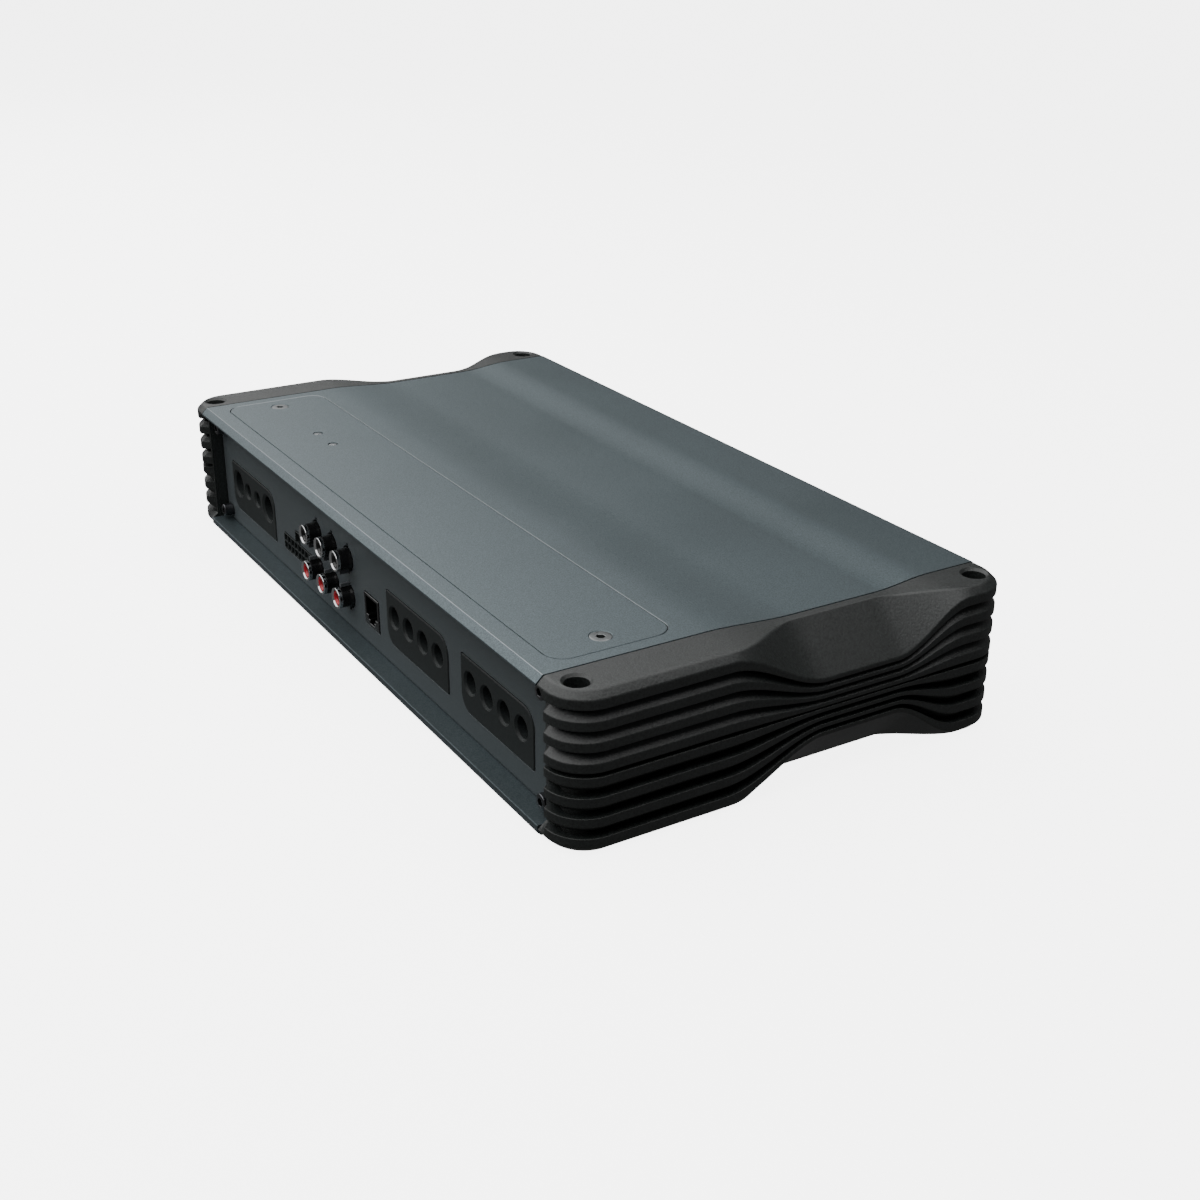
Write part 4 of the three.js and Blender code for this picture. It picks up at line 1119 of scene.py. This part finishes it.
# ---------------------------------------------------------------- access cover, screws and lights

COVER = "access_cover"


class AMPLIFIER_OT_access_cover(bpy.types.Operator):
    """Builds the lift-off cover over the controls and set screws"""

    bl_idname = "amplifier.access_cover"
    bl_label = "Access cover"

    def execute(self, context):
        height, chamfer = size("height"), size("cover_chamfer")
        x0, x1, y0, y1 = COVER_OUTLINE
        low = COVER_FLOOR + FIT
        sink = 2.1
        holes = [(circle(x, y, COVER_SCREW_HOLE, 56), [(height, sink), (height - sink, 0), (low, 0)], False)
                 for x, y in COVER_SCREWS]
        holes += [(circle(x, y, 2, 40), [(height, 0.1), (height - 0.1, 0), (low, 0)], False)
                  for x, y in INDICATORS]
        outline = rounded_rectangle(x0 + FIT, x1 - FIT, y0 + FIT, y1 - FIT, size("cover_corner") - FIT)
        cover = new_object("lift_off_cover", slab(
            outline, [(height, -chamfer), (height - chamfer, 0), (low + 0.2, 0), (low, -0.2)], holes))
        finish_piece(cover, COVER, ["access_cover"], "slate_flake_powder_coat")
        return {"FINISHED"}


class AMPLIFIER_OT_cover_screws(bpy.types.Operator):
    """Builds the two countersunk socket screws of the access cover"""

    bl_idname = "amplifier.cover_screws"
    bl_label = "Cover screws"

    def execute(self, context):
        (x, y), (x2, _) = COVER_SCREWS
        top = size("height") - 0.1
        head, shank = 3.7, 1.5
        cone = head - shank
        screw = slab(circle(x, y, head, 56), [
            (top, -0.25), (top - 0.1, -0.05), (top - 0.2, 0), (top - 0.2 - cone, -cone),
            (top - 7.7, -cone), (top - 8.4, -cone - 0.6)],
            [(hexagon(x, y, 2.6), [(top, 0.15), (top - 0.15, 0), (top - 1.5, 0)], True)])
        repeated("countersunk_screws", screw, 2, (x2 - x, 0, 0), "nickel_plate_on_headed_steel",
                 numbered("cover_screw", 2), body=COVER)
        return {"FINISHED"}


class AMPLIFIER_OT_panel_screws(bpy.types.Operator):
    """Builds the four socket cap screws that hold the connection panel"""

    bl_idname = "amplifier.panel_screws"
    bl_label = "Panel screws"

    def execute(self, context):
        (x, x2), (z, z2) = PANEL_SCREWS_X, PANEL_SCREWS_Z
        seat = PANEL_FRONT - FIT
        radius, shank = 2.75, 1.3
        outline = [(4, 2.35), (3.9, 2.55), (3.65, radius), (0, radius), (0, shank), (-7.4, shank),
                   (-7.8, shank - 0.4)]
        screw = slab(circle(x, z, radius, 48), [(seat - w, r - radius) for w, r in outline],
                     [(hexagon(x, z, 2.5), [(seat - 4, 0.12), (seat - 3.9, 0), (seat - 2.2, 0)], True)],
                     upright)
        repeated("cap_head_screws", screw, 2, (x2 - x, 0, 0), "black_zinc_on_headed_steel",
                 numbered("panel_screw", 4), 2, (0, 0, z2 - z))
        return {"FINISHED"}


class AMPLIFIER_OT_indicator_lenses(bpy.types.Operator):
    """Builds the two clear light pipes in the access cover"""

    bl_idname = "amplifier.indicator_lenses"
    bl_label = "Indicator lenses"

    def execute(self, context):
        radius, low, top = 1.7, 51, size("height") - 0.1
        (x, y), (x2, _) = INDICATORS
        shape = lathe(rounded_line([(0, low, 0), (radius, low, 0.2), (radius, top - 0.15, 0.4),
                                    (1.2, top - 0.02, 0.3), (0, top, 0)]), (x, y), count=32)
        repeated("light_pipes", shape, 2, (x2 - x, 0, 0), "clear_acrylic_moulded",
                 numbered("indicator_lens", 2), body=COVER)
        return {"FINISHED"}


# ---------------------------------------------------------------- boards, controls and power parts


class AMPLIFIER_OT_circuit_boards(bpy.types.Operator):
    """Finishes the two circuit boards and builds the small packages on the control board"""

    bl_idname = "amplifier.circuit_boards"
    bl_label = "Circuit boards"

    def execute(self, context):
        for name in ("main_circuit_board", "control_board"):
            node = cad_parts[name]
            node.data.materials.clear()
            node.data.materials.append(material("solder_mask_on_glass_epoxy"))
        z, chips_apart, leads_apart = CONTROL_TOP, (20, 0, 0), (1.25, 0, 0)
        chip = block(-98, -93, -58.5, -56, z, z + 1.4, 0.2)
        repeated("control_chips", chip, 11, chips_apart, "moulded_epoxy_package")
        lead = block(-97.6, -97.1, -59.2, -55.3, z, z + 0.35)
        repeated("chip_leads", lead, 4, leads_apart, "tin_plate_on_brass",
                 rows=11, row_step=chips_apart)
        capacitor = block(-90, -88, -43.2, -42, z, z + 0.6, 0.1)
        repeated("chip_capacitors", capacitor, 22, (9.6, 0, 0), "grey_abs_moulded",
                 rows=2, row_step=(0, -2.2, 0))
        return {"FINISHED"}


def ridged_circle(u, v, radius, ridges, height, count=144):
    """A round outline whose radius swings by the ridges' height."""
    angles = spread(0, math.tau * (1 - 1 / count), count - 1)
    radii = [radius + height * math.cos(ridges * a) for a in angles]
    return [(u + r * math.cos(a), v + r * math.sin(a)) for a, r in zip(angles, radii)]


def centred(x, half_x, half_y, low, high, chamfer=0.0):
    """A block on the line of the controls."""
    return block(x - half_x, x + half_x, CONTROL_Y - half_y, CONTROL_Y + half_y, low, high, chamfer)


class AMPLIFIER_OT_controls(bpy.types.Operator):
    """Builds the trimmer pots, their knobs, and the slide switches under the access cover"""

    bl_idname = "amplifier.controls"
    bl_label = "Controls"

    def execute(self, context):
        base = CONTROL_TOP + FIT
        pot_top = base + 5
        pot = centred(KNOBS_X[0], 5, 5.5, base, pot_top, 0.3)
        repeated("trimmer_pots", pot, 3, (KNOBS_X[1] - KNOBS_X[0], 0, 0), "black_abs_moulded",
                 numbered("gain_pot", 3))
        low, high = pot_top + FIT, pot_top + FIT + 6
        for i, x in enumerate(KNOBS_X, 1):
            knob = new_object(f"ridged_knob_{i}", slab(
                ridged_circle(x, CONTROL_Y, 3.1, 18, 0.1), [(low, 0), (high - 0.2, 0), (high, -0.2)]))
            carve(knob, "DIFFERENCE", centred(x, 0.5, 4, high - 1.2, high + 1))
            finish_piece(knob, f"gain_knob_{i}", [f"gain_knob_{i}"], "grey_nylon_moulded")
        floor, rim = CONTROL_TOP + 2.5, CONTROL_TOP + 5
        x = SWITCHES_X[0]
        slot = rectangle(x - 4.4, x + 4.4, CONTROL_Y - 1.6, CONTROL_Y + 1.6)
        switch = slab(rectangle(x - 6.5, x + 6.5, CONTROL_Y - 3.5, CONTROL_Y + 3.5),
                      [(rim, -0.3), (rim - 0.3, 0), (base, 0)],
                      [(slot, [(rim, 0.2), (rim - 0.2, 0), (floor, 0)], True)])
        repeated("slide_switch_bodies", switch, 2, (SWITCHES_X[1] - x, 0, 0), "black_abs_moulded",
                 numbered("crossover_switch", 2))
        for i, x in enumerate(SWITCHES_X, 1):
            ridges = [centred(x - 1.15 + k * 0.7, 0.25, 1.3, rim + 2.4, rim + 3, 0.1) for k in range(4)]
            slider = new_object(f"ridged_slider_{i}", joined(
                centred(x, 1.4, 1.3, floor + FIT, rim + 2.5, 0.1), *ridges))
            finish_piece(slider, f"crossover_slider_{i}", [f"crossover_slider_{i}"],
                         "grey_nylon_moulded")
        return {"FINISHED"}


def wound_ring(name, x, y, inner, outer, height, turns, wire, replaced):
    """A ferrite ring with enamelled wire wound round it."""
    low = BOARD_TOP + FIT
    middle, half = (inner + outer) / 2, (outer - inner) / 2
    left, right, base, top = inner + wire, outer - wire, low + wire, low + height - wire
    core = lathe(rounded_line([
        (left, low + height / 2, 0), (left, base, 1), (right, base, 1), (right, top, 1), (left, top, 1),
        (left, low + height / 2, 0)]), (x, y))
    core = new_object(f"{name}_core", core)
    finish_piece(core, CHASSIS, (), "sintered_ferrite")
    loop = rounded_rectangle(-half + wire / 2, half - wire / 2, -height / 2 + wire / 2,
                             height / 2 - wire / 2, min(half, height / 2) * 0.35, 3)
    sides = 6
    vertices = []
    for i, (u, v) in enumerate(loop):
        ahead = Vector(loop[(i + 1) % len(loop)]) - Vector(loop[i - 1])
        out = Vector((ahead.y, -ahead.x)).normalized()
        for angle in spread(0, math.tau * (1 - 1 / sides), sides - 1):
            r = out * (math.cos(angle) * wire / 2)
            vertices.append((u + r.x, v + r.y, math.sin(angle) * wire / 2))
    count = len(loop)
    faces = [(i * sides + j, i * sides + (j + 1) % sides, (i + 1) % count * sides + (j + 1) % sides,
              (i + 1) % count * sides + j) for i in range(count) for j in range(sides)]
    winding = grow_by_nodes(new_object(f"{name}_winding", (vertices, faces)), "ring", turns=turns,
                            radius=middle * MM, finish=material("enamelled_copper_wire"),
                            centre=[c * MM for c in (x, y, low + height / 2)])
    finish_piece(winding, CHASSIS, [replaced])


class AMPLIFIER_OT_power_parts(bpy.types.Operator):
    """Builds the transformer, the inductor and the capacitors on the main board"""

    bl_idname = "amplifier.power_parts"
    bl_label = "Power parts"

    def execute(self, context):
        wound_ring("supply_transformer", x=-70, y=15, inner=9, outer=21, height=20, turns=44, wire=1.2,
                   replaced="power_transformer")
        wound_ring("filter_inductor", x=50, y=5, inner=5, outer=13, height=14, turns=30, wire=1.0,
                   replaced="output_inductor")
        place, apart = (-112, 10), (0, 24, 0)
        low, high = BOARD_TOP + FIT, BOARD_TOP + FIT + 30
        sleeve = lathe(rounded_line([(0, low, 0), (9, low, 0.8), (9, high, 1.2), (7.6, high, 0.2),
                                     (7.4, high - 0.3, 0.1), (0, high - 0.3, 0)]), place)
        repeated("capacitor_sleeves", sleeve, 2, apart, "pvc_shrink_sleeve",
                 numbered("supply_capacitor", 2))
        top = lathe([(0, high - 0.6), (7.3, high - 0.6), (7.3, high - 0.15), (7.1, high - 0.05),
                     (0, high - 0.05)], place)
        repeated("capacitor_tops", top, 2, apart, "drawn_aluminium")
        return {"FINISHED"}


# ---------------------------------------------------------------- stage


def overhead_softbox(x, y, z, width, depth, power):
    """A broad light that faces straight down."""
    light = bpy.data.lights.new("overhead_softbox", "AREA")
    light.shape, light.size, light.size_y, light.energy = "RECTANGLE", width, depth, power
    obj = bpy.data.objects.new("overhead_softbox", light)
    obj.location = (x, y, z)
    obj.rotation_mode = "QUATERNION"
    obj.rotation_quaternion = Vector((0, 0, -1)).to_track_quat("-Z", "Y")
    obj.visible_camera = False
    bpy.context.scene.collection.objects.link(obj)


class AMPLIFIER_OT_stage(bpy.types.Operator):
    """Sets out the camera, the pale floor and the soft studio light"""

    bl_idname = "amplifier.stage"
    bl_label = "Studio stage"

    def execute(self, context):
        scene = context.scene
        azimuth, elevation, roll = (math.radians(a) for a in (58.515, 24.274, 0.427))
        back = Vector((math.sin(azimuth) * math.cos(elevation),
                       -math.cos(azimuth) * math.cos(elevation), math.sin(elevation)))
        right = (-back).cross(Vector((0, 0, 1))).normalized()
        up = back.cross(right)
        c, s = math.cos(roll), math.sin(roll)
        axes = Matrix((right * c + up * s, up * c - right * s, back)).transposed()
        camera = bpy.data.objects.new("studio_camera", bpy.data.cameras.new("studio_camera"))
        place = Matrix.Translation((0.5139, -0.2880, 0.2670))
        camera.matrix_world = place @ axes.to_4x4()
        camera.data.lens, camera.data.sensor_width = 47.78, 36
        camera.data.clip_start, camera.data.clip_end = 0.01, 20
        scene.collection.objects.link(camera)
        scene.camera = camera
        reach, level = 4000, -0.05
        corners = [(x, y, level) for x, y in rectangle(-reach, reach, -reach, reach)]
        floor = new_object("studio_floor", (corners, [(0, 1, 2, 3)]), False)
        floor.data.materials.append(material("studio_paper"))
        # The floor lights nothing, so the sides under the fins and the lip stay dark.
        floor.visible_diffuse = floor.visible_glossy = False
        world = bpy.data.worlds.new("studio")
        world.use_nodes = True
        background = world.node_tree.nodes["Background"]
        background.inputs["Color"].default_value = (1, 1, 1, 1)
        background.inputs["Strength"].default_value = 0.12
        scene.world = world
        overhead_softbox(-0.575, -0.325, 0.52, width=2.05, depth=1.35, power=16.5)
        return {"FINISHED"}


# ---------------------------------------------------------------- registration


class AMPLIFIER_PT_pieces(bpy.types.Panel):
    """Lists the amplifier's sizes, colours and pieces"""

    bl_idname = "AMPLIFIER_PT_pieces"
    bl_label = "Car amplifier"
    bl_space_type = "VIEW_3D"
    bl_region_type = "UI"
    bl_category = "Amplifier"

    def draw(self, context):
        for settings in (context.scene.amplifier_sizes, context.scene.amplifier_colours):
            column = self.layout.column(align=True)
            for name in settings.__annotations__:
                column.prop(settings, name)
        for operator in OPERATORS:
            self.layout.operator(operator.bl_idname)


OPERATORS = (
    AMPLIFIER_OT_stage,
    AMPLIFIER_OT_top_shell,
    AMPLIFIER_OT_bottom_plate,
    AMPLIFIER_OT_end_caps,
    AMPLIFIER_OT_connection_panel,
    AMPLIFIER_OT_terminal_blocks,
    AMPLIFIER_OT_set_screws,
    AMPLIFIER_OT_phono_jacks,
    AMPLIFIER_OT_signal_connector,
    AMPLIFIER_OT_network_jack,
    AMPLIFIER_OT_access_cover,
    AMPLIFIER_OT_cover_screws,
    AMPLIFIER_OT_panel_screws,
    AMPLIFIER_OT_indicator_lenses,
    AMPLIFIER_OT_circuit_boards,
    AMPLIFIER_OT_controls,
    AMPLIFIER_OT_power_parts,
)
CLASSES = (AmplifierSizes, AmplifierColours, *OPERATORS, AMPLIFIER_PT_pieces)


def register():
    for each in CLASSES:
        bpy.utils.register_class(each)
    bpy.types.Scene.amplifier_sizes = bpy.props.PointerProperty(type=AmplifierSizes)
    bpy.types.Scene.amplifier_colours = bpy.props.PointerProperty(type=AmplifierColours)


def unregister():
    del bpy.types.Scene.amplifier_colours
    del bpy.types.Scene.amplifier_sizes
    for each in reversed(CLASSES):
        bpy.utils.unregister_class(each)


def main():
    register()
    for operator in OPERATORS:
        group, name = operator.bl_idname.split(".")
        getattr(getattr(bpy.ops, group), name)()


if __name__ == "__main__":
    main()
